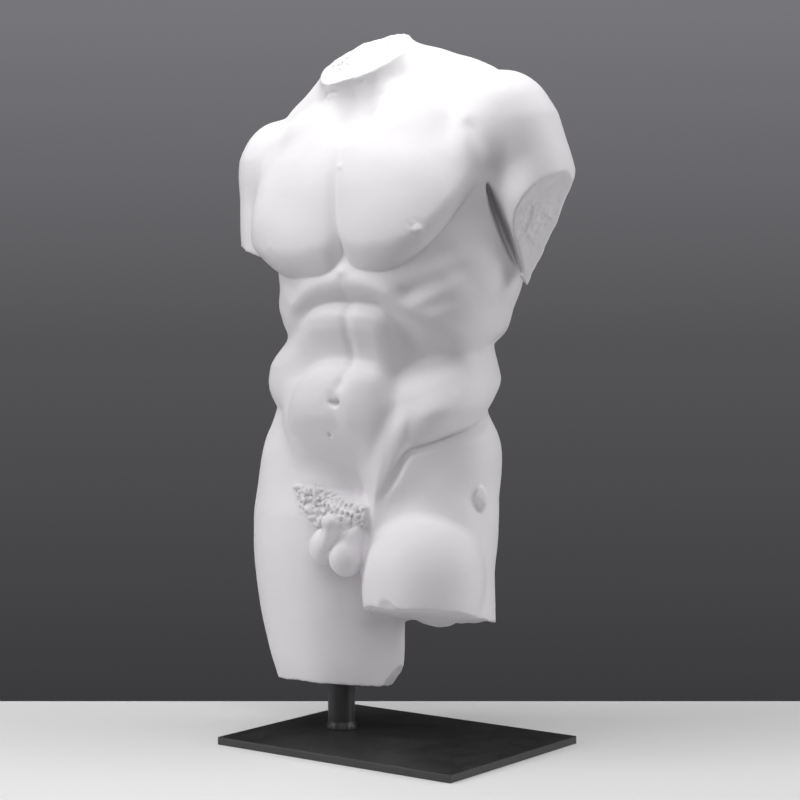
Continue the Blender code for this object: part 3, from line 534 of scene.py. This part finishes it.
# --- Neck, shoulders, arms, hips and thighs
class Limb:
    """Shapes blended together, broken off at their ends, then blended onto the body."""

    def __init__(self, shapes, breaks=(), fillet=12.0):
        self.shapes = shapes
        self.breaks = breaks
        self.fillet = fillet

    def near(self, p, d):
        return np.any([shape.near(p) for shape in self.shapes], axis=0)

    def apply(self, p, d):
        own = np.full(len(p), FAR)
        for shape in self.shapes:
            m = shape.near(p)
            own[m] = merge(own[m], shape.distance(p[m]), shape.fillet)
        for rough_plane in self.breaks:
            own = rough_plane.trim(p, own)
        return merge(d, own, self.fillet)


class Dent:
    """A soft hollow pressed into the surface: half sizes across, out and along, and depth."""

    def __init__(self, centre, half, depth, along=(0, 0, 1), out=(0, -1, 0)):
        self.centre = floats(centre)
        self.half = floats(half)
        self.depth = depth
        self.turn = axes_of(along, out)

    def near(self, p, d):
        return (np.abs(d) < 30.0) & within(p, self.centre, 2.6 * self.half.max())

    def apply(self, p, d):
        q = (p - self.centre) @ self.turn.T / self.half
        return d + self.depth * np.exp(-(q ** 2).sum(1))


class Scoop:
    """An ellipsoid of stone taken away, its rim rounded by the fillet."""

    def __init__(self, shape):
        self.shape = shape

    def near(self, p, d):
        return self.shape.near(p)

    def apply(self, p, d):
        return -merge(-d, self.shape.distance(p), self.shape.fillet)


def by_hair(p, d, close):
    """Which points lie close to the surface in the block that holds the hair."""
    return (np.abs(d) < close) & (p[:, 2] > 225.0) & (p[:, 2] < 320.0) & (p[:, 1] < -40.0)


class HairPad:
    """The raised triangle of pubic hair, crisp along its upper edge."""

    def near(self, p, d):
        return by_hair(p, d, 14.0)

    def apply(self, p, d):
        u, z = unroll(p)
        return d - HAIR_THICK * hair_share(u, z)


class Furrow:
    """A soft groove in the surface along a curve in space; a negative depth makes a ridge."""

    def __init__(self, corners, width, depth, fade=0.25):
        self.corners = floats(corners)
        self.width = width
        self.depth = depth
        self.fade = fade

    def near(self, p, d):
        room = 2.5 * self.width
        inside = ((p > self.corners.min(0) - room) & (p < self.corners.max(0) + room)).all(1)
        return inside & (np.abs(d) < BAND)

    def apply(self, p, d):
        return d + stroke(p, self.corners, self.width, self.depth, self.fade)


class Crease:
    """The crease from the pubis under the left hip, a line on the unrolled trunk."""

    def near(self, p, d):
        return (np.abs(d) < 14.0) & (p[:, 2] > 270.0) & (p[:, 2] < 400.0)

    def apply(self, p, d):
        u, z = unroll(p)
        return d + stroke(flat(u, z), FOLD_CREASE, 5.5, 8.0, 0.3)


def hair_share(u, z):
    """How much of the hair's thickness there is, from 0 off the pad to 1."""
    top = ramp((spline(u, HAIR_TOP) - z) / 3.5 + 0.5)
    outer = ramp((u + 80.0 - 0.72 * (300.0 - z)) / 4.0 + 0.5)
    inner = ramp((40.0 - u) / 4.0 + 0.5)
    low = ramp((z - spline(u, HAIR_LOW)) / 5.0 + 0.5)
    return top * outer * inner * low


def back_muscles():
    """Broad back, shoulder blades and buttocks, a pair of each."""
    shapes = []
    for side in (-1, 1):
        shapes.append(Lump((side * 112, 42, 600), (36, 52, 100), (side * 0.16, 0, 1),
                           (side * 0.5, -1, 0), 24))
        shapes.append(Lump((side * 78, 66, 655), (66, 34, 66), (side * -0.1, 0, 1), fillet=24))
        shapes.append(Lump((-23 + side * 62, 50, 268), (54, 58, 64), fillet=14))
    return shapes


def shoulder_girdle():
    """Collar bones, trapezius and the outer chest, the left side standing higher."""
    return [Lump((-84, -24, 705), (74, 36, 34), (-0.25, 0.25, 1), fillet=16),
            Lump((52, -20, 692), (88, 46, 62), (0.15, 0.1, 1), fillet=26),
            Lump((57, 21, 752), (86, 42, 36), (0.3, 0.25, 1), fillet=24),
            Lump((-142, -26, 652), (38, 34, 66), (-0.25, 0.1, 1), (-0.5, -1, 0), 16),
            Lump((132, -28, 668), (38, 34, 66), (0.3, 0.1, 1), (0.5, -1, 0), 16),
            Lump((-108, 8, 742), (64, 34, 24), (-0.4, 0, 0.92), fillet=26),
            Lump((-70, 8, 752), (40, 36, 46), fillet=30),
            Lump((21, 34, 774), (42, 26, 30), (0.5, 0, 1), fillet=14),
            Lump((60, 28, 765), (80, 34, 25), (0.24, 0, 1), fillet=24)]


def neck():
    """The neck leans to the front and to the figure's right."""
    rows = [(-40, 0, 0, 62, 52), (0, 0, 0, 57, 54), (60, 0, 0, 52, 54), (120, 0, 0, 54, 58)]
    return [Loft(rows, 2.4, (-20, 25, 728), (-0.2, -0.5, 0.85), 6, 16)]


def right_arm():
    """Hangs straight down."""
    rows = [(520, 0, 0, 44, 50), (560, 0, 0, 45, 50), (620, 0, 0, 47, 52), (680, 0, 0, 44, 50),
            (700, 0, 0, 34, 40)]
    return [Lump((-176, 6, 672), (50, 52, 60), fillet=18), Loft(rows, foot=(-180, 8, 0), fillet=12)]


def left_arm():
    """Held a little out from the side and back."""
    rows = [(-30, 0, 0, 34, 36), (0, -4, 0, 49, 46), (32, -8, 0, 49, 47), (60, -9, 0, 47, 49),
            (110, -5, 0, 42, 47), (180, -3, 0, 34, 42)]
    return [Lump((149, 2, 706), (55, 52, 62), (-0.38, 0, 0.9), fillet=18),
            Loft(rows, foot=(152, 6, 700), along=(0.26, 0.11, -0.96), fillet=14)]


def left_arm_breaks():
    """The arm broke upward and outward above the elbow, with a chip off the back."""
    upper = Break((202, -20, 630), (0.73, 0.0, -0.68), 3.0, 40, 3)
    lower = Break((168, -14, 562), (0.84, -0.36, -0.40), 3.0, 40, 3)
    back = Break((190, 30, 590), (0.74, 0.55, -0.38), 3.0, 30, 7)
    return [HollowBreak(upper, lower), back]


def strut_stump():
    """What is left of a strut that once steadied the left hand."""
    return [Lump((124, -9, 291), (7, 8, 14), (0, 0, 1), (0.9, -0.4, 0), 4)]


def right_thigh():
    """The standing leg, with the hip muscle on its outer front."""
    return [Loft(RIGHT_THIGH_ROWS, fillet=12), Lump((-118, -32, 305), (50, 46, 92), (0.04, 0, 1), fillet=16)]


def left_thigh():
    """The free leg."""
    return [Loft(LEFT_THIGH_ROWS, fillet=12), Lump((2, 24, 160), (16, 36, 50), fillet=14),
            Lump((90, 10, 340), (36, 46, 52), fillet=20)]


def left_thigh_front():
    """The front muscle of the free leg, swelling below a hollow."""
    return [Lump((74, -50, 204), (70, 59, 71), (0.05, 0.08, 1), (0.2, -1, 0), 6),
            Lump((72, -50, 180), (66, 60, 92), (0.05, 0.08, 1), (0.2, -1, 0), 10)]


def genitals():
    """Testicles and the stump of the penis."""
    return [Lump((0, -95, 226), (17, 23, 22), (-0.1, 0, 1), fillet=8),
            Lump((5, -86, 246), (8, 17, 13), fillet=6),
            Lump((-13, -94, 252), (10, 20, 20), fillet=6),
            Lump((-30, -99, 236), (15, 16, 21), (0.1, 0, 1), fillet=4),
            Lump((-12, -112, 252), (8, 9, 19), (0.15, 0.3, 1), fillet=4),
            Lump((-9, -112, 266), (10.5, 10, 9), fillet=3)]


def torso_field(finish=()):
    """The whole figure, with any finishing steps, as one function from points to distances."""
    left_knee_break = Break((0, 0, 149), (0.05, -0.22, -1), 4.0, 34, 5)
    right_knee_breaks = [Break((-82, 0, 63), (0.02, -0.17, -1), 1.5, 22),
                         Break((-14, 20, 84), (0.75, 0.3, -0.6), 2.0, 18, 6)]
    steps = [Limb(right_thigh(), right_knee_breaks),
             Limb(left_thigh(), [left_knee_break]),
             Dent((70, -82, 285), (48, 34, 23), 9.0),
             Limb(left_thigh_front(), [left_knee_break], 6),
             Scoop(Lump((70, -118, 170), (20, 14, 15), (0.5, 0, 1), (0, -1, 0), 3)),
             Scoop(Lump((122, -62, 160), (18, 12, 8), (0.3, 0, 1), (0.5, -1, 0), 3)),
             Dent((52, 2, 146), (26, 34, 24), -8.0),
             Limb(back_muscles(), fillet=14),
             Limb(shoulder_girdle(), fillet=16),
             Limb(neck(), fillet=20),
             Scoop(Lump((-17, -83, 738), (37, 42, 42), (-0.4, -0.3, 1), fillet=14)),
             Limb(right_arm(), [Break((-178, 8, 568), (-0.4, 0, -1), 3.0, 24)], 14),
             Limb(left_arm(), left_arm_breaks()),
             Dent((170, -40, 649), (36, 30, 20), 5.5),
             Scoop(Lump((160, -20, 588), (6.5, 22, 50), (12, 41, -86), (0.6, -0.8, 0), 5)),
             Furrow(CHEST_EDGE, 8.0, 5.0),
             Limb(strut_stump(), fillet=3),
             Limb([Lump((-12, -62, 270), (44, 20, 22), fillet=10)], fillet=10),
             HairPad(),
             Limb([Lump((10, -62, 226), (12, 18, 34), fillet=6)], fillet=6),
             Limb(genitals(), fillet=4),
             Crease(), *finish]
    neck_break = Break((-36, -14, 792.5), (-0.10, -0.70, 1), 3.5, 26, 4)

    def distance(p):
        p = floats(p)
        d = np.full(len(p), FAR)
        m = (p[:, 2] > 180.0) & (p[:, 2] < 800.0)
        d[m] = trunk(p[m])
        return neck_break.trim(p, apply_steps(steps, p, d))

    return distance


# --- From the field to faces: one vertex in each grid cell that the surface crosses
def corner_of(values, i, j, k):
    """The values at one corner of every cell, as a view."""
    return values[tuple(slice(n, size - 1 + n) for n, size in zip((i, j, k), values.shape))]


def sample_grid(field, cell, coarse=4):
    """Distances on a grid, exact only in the cells near the surface."""
    counts = [int(math.ceil((h - l) / (cell * coarse))) * coarse + 1 for l, h in zip(LOW, HIGH)]
    few = [(n - 1) // coarse + 1 for n in counts]
    ticks = [l + cell * coarse * np.arange(n) for l, n in zip(LOW, few)]
    points = np.stack(np.meshgrid(*ticks, indexing="ij"), -1).reshape(-1, 3)
    rough = field(points).reshape(few)
    near = np.zeros([n - 1 for n in few], bool)
    for corner in CELL_CORNERS:
        near |= np.abs(corner_of(rough, *corner)) < cell * coarse * 1.9
    values = rough[:-1, :-1, :-1]
    for axis in range(3):
        values = np.repeat(values, coarse, axis)
        near = np.repeat(near, coarse, axis)
    values, near = [np.pad(grid, ((0, 1),) * 3, mode="edge") for grid in (values, near)]
    near[1:] |= near[:-1].copy()
    near[:, 1:] |= near[:, :-1].copy()
    near[:, :, 1:] |= near[:, :, :-1].copy()
    spots = np.argwhere(near)
    for start in range(0, len(spots), CHUNK):
        some = spots[start:start + CHUNK]
        values[tuple(some.T)] = field(floats(LOW) + cell * some)
    return values


def fill_pinches(values):
    """Fill corners where the stone would touch itself only at a corner or along an edge."""
    for j, k in itertools.product((0, 1), repeat=2):
        ends = [corner_of(values, 0, j, k), corner_of(values, 1, 1 - j, 1 - k)]
        count = sum((corner_of(values, *corner) < 0).astype(int) for corner in CELL_CORNERS)
        ends[0][(count == 2) & (ends[0] < 0) & (ends[1] < 0)] = 0.1
        ends[0][(count == 6) & (ends[0] >= 0) & (ends[1] >= 0)] = -0.1
    for _ in range(3):
        for u, v in ((0, 1), (1, 2), (2, 0)):
            views = []
            for i, j in ((0, 0), (1, 1), (0, 1), (1, 0)):
                window = [slice(None)] * 3
                window[u] = slice(i, values.shape[u] - 1 + i)
                window[v] = slice(j, values.shape[v] - 1 + j)
                views.append(values[tuple(window)])
            a, b, c, d = [view < 0 for view in views]
            views[2][a & b & ~c & ~d] = -0.1
            views[0][c & d & ~a & ~b] = -0.1


def crossing_cells(values, cell):
    """A point in the middle of the crossings of each mixed cell, and the cells' numbers."""
    inside = values < 0
    shape = [n - 1 for n in values.shape]
    count = np.zeros(shape, int)
    for corner in CELL_CORNERS:
        count += corner_of(inside, *corner)
    mixed = (count > 0) & (count < 8)
    cells = np.argwhere(mixed)
    number = np.full(shape, -1)
    number[mixed] = np.arange(len(cells))
    total = np.zeros((len(cells), 3))
    hits = np.zeros(len(cells))
    for axis, i, j in itertools.product(range(3), (0, 1), (0, 1)):
        start = np.insert([i, j], axis, 0)
        end = np.insert([i, j], axis, 1)
        a = values[tuple((cells + start).T)]
        b = values[tuple((cells + end).T)]
        hit = (a < 0) != (b < 0)
        spot = start + np.where(hit, a / np.where(hit, a - b, 1.0), 0.0)[:, None] * (end - start)
        total += spot * hit[:, None]
        hits += hit
    return floats(LOW) + cell * (cells + total / hits[:, None]), number


def quads_between(values, number):
    """A four-sided face across every grid edge that the surface crosses, facing out."""
    inside = values < 0
    quads = []
    for axis in range(3):
        u, v = [(1, 2), (2, 0), (0, 1)][axis]
        here = [slice(1, -1)] * 3
        here[axis] = slice(0, -1)
        ahead = list(here)
        ahead[axis] = slice(1, None)
        a = inside[tuple(here)]
        b = inside[tuple(ahead)]
        for leaving, edges in ((True, a & ~b), (False, ~a & b)):
            spots = np.argwhere(edges)
            ring = []
            for du, dv in ((1, 1), (0, 1), (0, 0), (1, 0)):
                cell = spots.copy()
                cell[:, u] += du
                cell[:, v] += dv
                ring.append(number[tuple(cell.T)])
            ring = np.stack(ring, 1)
            quads.append(ring if leaving else ring[:, ::-1])
    return np.concatenate(quads)


def settle(field, points, quads, cell, rounds):
    """Even the points out and drop them onto the surface."""
    pairs = np.concatenate([quads[:, [k, (k + 1) % 4]] for k in range(4)])
    pairs = np.concatenate([pairs, pairs[:, ::-1]])
    count = np.bincount(pairs[:, 0], minlength=len(points))
    h = cell * 0.4
    for _ in range(rounds):
        mean = [np.bincount(pairs[:, 0], points[pairs[:, 1], k], len(points)) / count for k in range(3)]
        points = points + 0.6 * (np.stack(mean, 1) - points)
        slope = np.stack([field(points + h * e) - field(points - h * e) for e in np.eye(3)], 1) / (2 * h)
        steep = np.maximum((slope ** 2).sum(1), 0.05)
        step = -field(points)[:, None] * slope / steep[:, None]
        size = np.maximum(np.linalg.norm(step, axis=1), 1e-9)
        points = points + step * np.minimum(1.0, cell * 0.8 / size)[:, None]
    return points


def skin(field, cell, rounds=2):
    """Points in millimetres and four-sided faces of the closed surface of a field."""
    values = sample_grid(field, cell)
    fill_pinches(values)
    points, number = crossing_cells(values, cell)
    quads = quads_between(values, number)
    return settle(field, points, quads, cell, rounds), quads


# --- Fine carving
CURL = 10.0  # from one curl of hair to the next


class Curls:
    """Rows of small curls with drilled hearts over the hair pad."""

    def near(self, p, d):
        return by_hair(p, d, 8.0)

    def apply(self, p, d):
        u, z = unroll(p)
        bare = np.min([shape.distance(p) for shape in genitals()], axis=0)
        share = hair_share(u, z) * ramp(bare / 3.0)
        slant = z + 0.18 * u
        row = np.floor(slant / CURL)
        column = np.floor(u / CURL + 0.5 * (row % 2))
        heart_u = (column + 0.5 - 0.5 * (row % 2)) * CURL + 2.4 * (lattice(row, column, 0, 3) - 0.5)
        heart_z = (row + 0.5) * CURL + 2.4 * (lattice(row, column, 1, 3) - 0.5)
        across = u - heart_u
        up = slant - heart_z
        radius = np.hypot(across, up)
        dome = 5.6 * np.sqrt(np.clip(1.0 - (radius / (0.60 * CURL)) ** 2, 0.0, 1.0)) - 3.4
        lean = 0.6 + 0.8 * (lattice(row, column, 2, 3) - 0.5)
        wide = across * np.cos(lean) - up * np.sin(lean)
        long = across * np.sin(lean) + up * np.cos(lean)
        drilled = lattice(row, column, 3, 3) > 0.3
        slot = 6.5 * np.exp(-((wide - 1.4) / 1.7) ** 2 - (long / 2.9) ** 2) * drilled
        return d - share * (dome - slot)


class Grain:
    """Slight unevenness left by the chisel and by wear."""

    def near(self, p, d):
        return np.abs(d) < 8.0

    def apply(self, p, d):
        return d + 0.35 * noise(p, 22.0, 2, 11)


class Pits:
    """Broken, pitted stone over a round patch."""

    def __init__(self, centre, reach, depth, size=7.0, seed=5):
        self.centre = floats(centre)
        self.reach = reach
        self.depth = depth
        self.size = size
        self.seed = seed

    def near(self, p, d):
        return (np.abs(d) < 10.0) & within(p, self.centre, self.reach)

    def apply(self, p, d):
        gap = np.linalg.norm(p - self.centre, axis=1) / self.reach
        rough = ramp(2.2 * noise(p, self.size, 2, self.seed) + 0.3)
        return d + self.depth * rough * ramp(2.0 - 2.0 * gap)


def nipples():
    """The left nipple on its rubbed patch, and the worn trace of the right one."""
    return [Dent((102, -99, 588), (4.5, 12, 4.5), -2.6),
            Pits((97, -101, 590), 14, 0.9, 4.0, 9),
            Dent((-104, -104, 575), (4, 12, 4), -1.2)]


def drill_marks():
    """The navel, a pit under it and a dot on the breastbone."""
    return [Dent((-15, -96, 398), (5.0, 12, 2.8), 8.0, (0.35, 0, 1)),
            Dent((-26, -94, 362), (2.2, 12, 2.6), 5.0),
            Dent((-9, -94, 662), (4.5, 14, 3.0), -1.6)]


def throat():
    """Tendons down the front of the neck, with furrows beside them."""
    return [Furrow([(-17, -56, 762), (-16, -48, 745), (-14, -50, 724)], 3.5, -2.8),
            Furrow([(0, -52, 764), (-3, -46, 746), (-8, -50, 728)], 5.0, 1.8),
            Furrow([(-28, -54, 760), (-26, -47, 742), (-24, -50, 724)], 5.0, 1.8)]


def crumbled(field):
    """The field with crumbled stone over and along the break in the neck."""
    crumbs = [Pits((-73, -12, 790), 22, 4.0, 6.0, 2),
              Pits((-20, -10, 796), 40, 2.2, 6.0, 7),
              Pits((-16, -54, 764), 11, 3.2, 4.5, 4),
              Pits((-60, -52, 755), 18, 0.9, 4.5, 6)]

    return lambda p: apply_steps(crumbs, p, field(p))


def fine_carving():
    """Steps that follow the main carving."""
    armpit = Scoop(Lump((159, -18, 591), (5.0, 44, 54), (12, 41, -86), (0.6, -0.8, 0), 3))
    strut = Pits((130, -16, 291), 18, 1.0, 4.0, 3)
    arm_break = Pits((202, -12, 588), 42, 0.9, 7.0, 8)
    return [*nipples(), *drill_marks(), *throat(), armpit, strut, arm_break, Curls(), Grain()]


# --- Materials
class Nodes:
    """The nodes of a material or a world, with a texture coordinate to hand."""

    def __init__(self, owner, coordinate="Object"):
        owner.use_nodes = True
        self.nodes = owner.node_tree.nodes
        self.links = owner.node_tree.links
        self.place = self.add("TexCoord").outputs[coordinate]

    def join(self, output, socket):
        self.links.new(output, socket)

    def add(self, kind, **settings):
        """A node whose inputs are set to a value or fed by an output; _ stands for a space."""
        node = self.nodes.new("ShaderNode" + kind)
        for name, value in settings.items():
            socket = node.inputs[name.replace("_", " ")]
            if isinstance(value, bpy.types.NodeSocket):
                self.join(value, socket)
            else:
                socket.default_value = value
        return node

    def noise(self, scale, detail, roughness=0.5):
        """A noise texture in object space."""
        node = self.add("TexNoise", Scale=scale, Detail=detail, Roughness=roughness, Vector=self.place)
        return node.outputs["Fac"]

    def ramp(self, value, stops):
        """A colour ramp over a value, with grey or coloured stops."""
        node = self.add("ValToRGB", Fac=value)
        elements = node.color_ramp.elements
        for index, (position, color) in enumerate(stops):
            stop = elements[index] if index < 2 else elements.new(position)
            stop.position = position
            stop.color = (*color, 1.0)
        return node.outputs["Color"]

    def bump(self, height, distance, strength, **below):
        """A bump of so many metres, on top of another given as Normal."""
        node = self.add("Bump", Distance=distance, Strength=strength, Height=height, **below)
        return node.outputs["Normal"]


def new_material(name):
    """A Principled material, its nodes and its shader's inputs."""
    made = bpy.data.materials.new(name)
    kit = Nodes(made)
    return made, kit, kit.nodes["Principled BSDF"].inputs


def grey(level):
    """A neutral colour."""
    return (level, level, level)


def shade_and_grime_specks(kit, color):
    """The clean colour with grey specks of painted shade in the pits and drilled hollows, with dirt held in
    the broken stone.
    """
    specks = kit.ramp(kit.noise(210.0, 4.0, 0.7), [(0.50, grey(0.0)), (0.60, grey(1.0))])
    for centre, reach, share in SHADE_AND_GRIME_SPOTS:
        gap = kit.add("VectorMath")
        gap.operation = "DISTANCE"
        gap.inputs[1].default_value = centre
        kit.join(kit.place, gap.inputs[0])
        near = kit.add("MapRange", From_Min=reach, From_Max=0.5 * reach, To_Max=share,
                       Value=gap.outputs["Value"])
        amount = kit.add("Math")
        amount.operation = "MULTIPLY"
        kit.join(near.outputs["Result"], amount.inputs[0])
        kit.join(specks, amount.inputs[1])
        mix = kit.add("Mix")
        mix.data_type = "RGBA"
        # Dark grey of the specks: painted shade, with dirt.
        mix.inputs[COLOR_B].default_value = (0.28, 0.27, 0.28, 1.0)
        kit.join(amount.outputs["Value"], mix.inputs[0])
        kit.join(color, mix.inputs[COLOR_A])
        color = mix.outputs[COLOR_MIXED]
    return color


def marble_material():
    """White, matt, finely dressed stone with faint clouds and a fine grain."""
    made, kit, finish = new_material("marble_stone")
    tones = [(0.3, (0.805, 0.786, 0.812)), (0.7, (0.86, 0.84, 0.862))]
    clean = kit.ramp(kit.noise(9.0, 5.0, 0.55), tones)
    # Grey specks of painted shade, with dirt, over the breaks and the hair.
    kit.join(shade_and_grime_specks(kit, clean), finish["Base Color"])
    wear = kit.ramp(kit.noise(55.0, 4.0), [(0.3, grey(0.52)), (0.7, grey(0.64))])
    kit.join(wear, finish["Roughness"])
    fine = kit.bump(kit.noise(900.0, 3.0), 0.0002, 0.35)
    kit.join(kit.bump(kit.noise(140.0, 4.0), 0.0006, 0.3, Normal=fine), finish["Normal"])
    finish["Specular IOR Level"].default_value = 0.35
    return made


def steel_material():
    """Blackened steel with a satin wax finish."""
    made, kit, finish = new_material("black_steel")
    cloud = kit.noise(30.0, 5.0, 0.6)
    tones = [(0.3, (0.027, 0.027, 0.028)), (0.75, (0.040, 0.039, 0.039))]
    kit.join(kit.ramp(cloud, tones), finish["Base Color"])
    kit.join(kit.ramp(cloud, [(0.3, grey(0.34)), (0.7, grey(0.50))]), finish["Roughness"])
    kit.join(kit.bump(kit.noise(420.0, 3.0), 0.0002, 0.25), finish["Normal"])
    return made


def plain_material(name, color, roughness):
    """A plain material for the table."""
    made, _, finish = new_material(name)
    finish["Base Color"].default_value = (*color, 1.0)
    finish["Roughness"].default_value = roughness
    return made


# --- Pieces
def link(name, data, surface=None):
    """A new object in the scene, with its material if it has one."""
    made = bpy.data.objects.new(name, data)
    bpy.context.scene.collection.objects.link(made)
    if surface:
        data.materials.append(surface)
    return made


def keep(piece, node):
    """The piece rides on the root and stands in for a CAD node, which is hidden."""
    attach(piece, "root")
    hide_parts(node)


def carve_stone(surface):
    """The torso, fitted to the box of its CAD node and left without a socket."""
    points, quads = skin(crumbled(torso_field(fine_carving())), CELL)
    low, high = [np.array(corner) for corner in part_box("torso")]
    points = low + (points - points.min(0)) * ((high - low) / (points.max(0) - points.min(0)))
    mesh = bpy.data.meshes.new("torso_stone")
    mesh.from_pydata(points.tolist(), [], quads.tolist())
    mesh.shade_smooth()
    stone = link("torso_stone", mesh, surface)
    if 2 * len(quads) > FACES:
        thin = stone.modifiers.new("thin", "DECIMATE")
        thin.ratio = FACES / (2.0 * len(quads))
        graph = bpy.context.evaluated_depsgraph_get()
        thinned = bpy.data.meshes.new_from_object(stone.evaluated_get(graph))
        stone.modifiers.clear()
        stone.data = thinned
    keep(stone, "torso")
    return stone


def forge_plate(surface):
    """The base plate with slightly rounded edges."""
    low, high = [Vector(corner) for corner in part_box("base_plate")]
    bpy.ops.mesh.primitive_cube_add(size=1.0, location=(low + high) / 2)
    plate = bpy.context.object
    plate.name = "steel_plate"
    plate.scale = high - low
    bpy.ops.object.transform_apply(location=False, rotation=False, scale=True)
    bevel = plate.modifiers.new("edges", "BEVEL")
    bevel.width = 1.0 * MM
    bevel.segments = 4
    bevel.harden_normals = True
    plate.data.shade_smooth()
    plate.data.materials.append(surface)
    keep(plate, "base_plate")
    return plate


def forge_post(surface):
    """The round bar with a hand-run bead of weld round its foot."""
    low, high = [Vector(corner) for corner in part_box("post")]
    centre = (low + high) / 2
    reach = (high.x - low.x) / 2
    foot = low.z
    bar = reach - WELD_OUT
    profile = [(0.0, high.z), (bar - BAR_EDGE, high.z), (bar, high.z - BAR_EDGE)]
    for step in range(SHAFT_STEPS + 1):
        profile.append((bar, high.z - SHAFT_TOP - (high.z - foot - SHAFT_SPARE) * step / SHAFT_STEPS))
    for step in range(BEAD_STEPS + 1):
        t = step / BEAD_STEPS
        swell = WELD_OUT * math.sin(0.5 * math.pi * t) ** 0.8
        profile.append((bar + swell, foot + WELD_HIGH * (1.0 - t)))
    profile.append((0.0, foot))
    mesh = bpy.data.meshes.new("steel_post")
    points = []
    for radius, height in profile:
        weld = max(0.0, 1.0 - (height - foot) / RIPPLE_HIGH) if radius > 0 else 0.0
        for turn in range(TURNS):
            angle = 2.0 * math.pi * turn / TURNS
            ripple = RIPPLE * weld * (math.sin(angle * RIPPLES + 1.5 * math.sin(angle * 3.0)) - 1.0)
            wide = radius + ripple
            points.append((centre.x + wide * math.cos(angle), centre.y + wide * math.sin(angle), height))
    faces = []
    for row in range(0, (len(profile) - 1) * TURNS, TURNS):
        for turn in range(TURNS):
            after = (turn + 1) % TURNS
            faces.append((row + turn, row + TURNS + turn, row + TURNS + after, row + after))
    mesh.from_pydata(points, [], faces)
    mesh.shade_smooth()
    post = link("steel_post", mesh, surface)
    weld_shut = post.modifiers.new("close", "WELD")
    weld_shut.merge_threshold = 0.00001
    keep(post, "post")
    return post


# --- Table, backdrop, lights and camera
def view_axes():
    """Unit vectors to the right of the view and toward the camera, level."""
    turn = math.radians(VIEW_AZIMUTH)
    return Vector((math.cos(turn), math.sin(turn), 0.0)), Vector((math.sin(turn), -math.cos(turn), 0.0))


def set_table():
    """A pale table top under the stand, its back edge behind the plate."""
    right, toward = view_axes()
    corners = [right * x + toward * y for x, y in
               ((-TABLE_LEFT, -TABLE_BACK), (-TABLE_LEFT, TABLE_FRONT),
                (TABLE_RIGHT, TABLE_FRONT), (TABLE_RIGHT, -TABLE_BACK))]
    mesh = bpy.data.meshes.new("table")
    mesh.from_pydata([tuple(corner) for corner in corners], [], [(0, 1, 2, 3)])
    link("table", mesh, plain_material("table_white", (0.95, 0.945, 0.95), 0.6))


def set_backdrop():
    """A grey backdrop seen behind the stone, with painted light that makes it lighter above."""
    world = bpy.data.worlds.new("studio")
    bpy.context.scene.world = world
    kit = Nodes(world, "Generated")
    split = kit.add("SeparateXYZ", Vector=kit.place)
    height = kit.add("MapRange", From_Min=-BACKDROP_BAND, From_Max=BACKDROP_BAND,
                     Value=split.outputs["Z"])
    # Painted light: the backdrop's grey grows lighter toward the top.
    painted_light_greys = [(0.0, (0.041, 0.040, 0.043)), (0.5, (0.090, 0.089, 0.095)), (1.0, (0.198, 0.195, 0.211))]
    seen = kit.nodes["Background"]
    kit.join(kit.ramp(height.outputs["Result"], painted_light_greys), seen.inputs["Color"])
    unseen = kit.add("Background", Color=(0.01, 0.01, 0.0104, 1.0))
    mix = kit.add("MixShader", Fac=kit.add("LightPath").outputs["Is Camera Ray"])
    kit.join(unseen.outputs["Background"], mix.inputs[SHADER_A])
    kit.join(seen.outputs["Background"], mix.inputs[SHADER_B])
    kit.join(mix.outputs["Shader"], kit.nodes["World Output"].inputs["Surface"])


def set_lights():
    """Soft boxes above, in front and on both sides, the strongest one on the right."""
    right, toward = view_axes()
    for (across, near, up), wide, tall, watts in LIGHTS:
        lamp = bpy.data.lights.new("soft_box", "AREA")
        lamp.shape = "RECTANGLE"
        lamp.size = wide
        lamp.size_y = tall
        lamp.energy = watts
        box = link("soft_box", lamp)
        box.visible_camera = False
        box.location = right * across + toward * near + Vector((0.0, 0.0, up))
        box.rotation_euler = (LIGHT_AIM - box.location).to_track_quat("-Z", "Y").to_euler()


def set_camera():
    """The camera, at the height of the waist, looking slightly down."""
    toward = view_axes()[1]
    lens = bpy.data.cameras.new("camera")
    lens.lens = VIEW_LENS
    lens.sensor_width = 36.0
    lens.shift_x = VIEW_SHIFT
    camera = link("camera", lens)
    camera.location = toward * VIEW_AWAY + Vector((0.0, 0.0, VIEW_HEIGHT))
    camera.rotation_euler = (math.radians(90.0 - VIEW_DOWN), 0.0, math.radians(VIEW_AZIMUTH))
    bpy.context.scene.camera = camera


def main():
    """Dress the frame."""
    steel = steel_material()
    carve_stone(marble_material())
    forge_plate(steel)
    forge_post(steel)
    set_table()
    set_backdrop()
    set_lights()
    set_camera()
    bpy.context.scene.view_settings.view_transform = "Standard"


main()
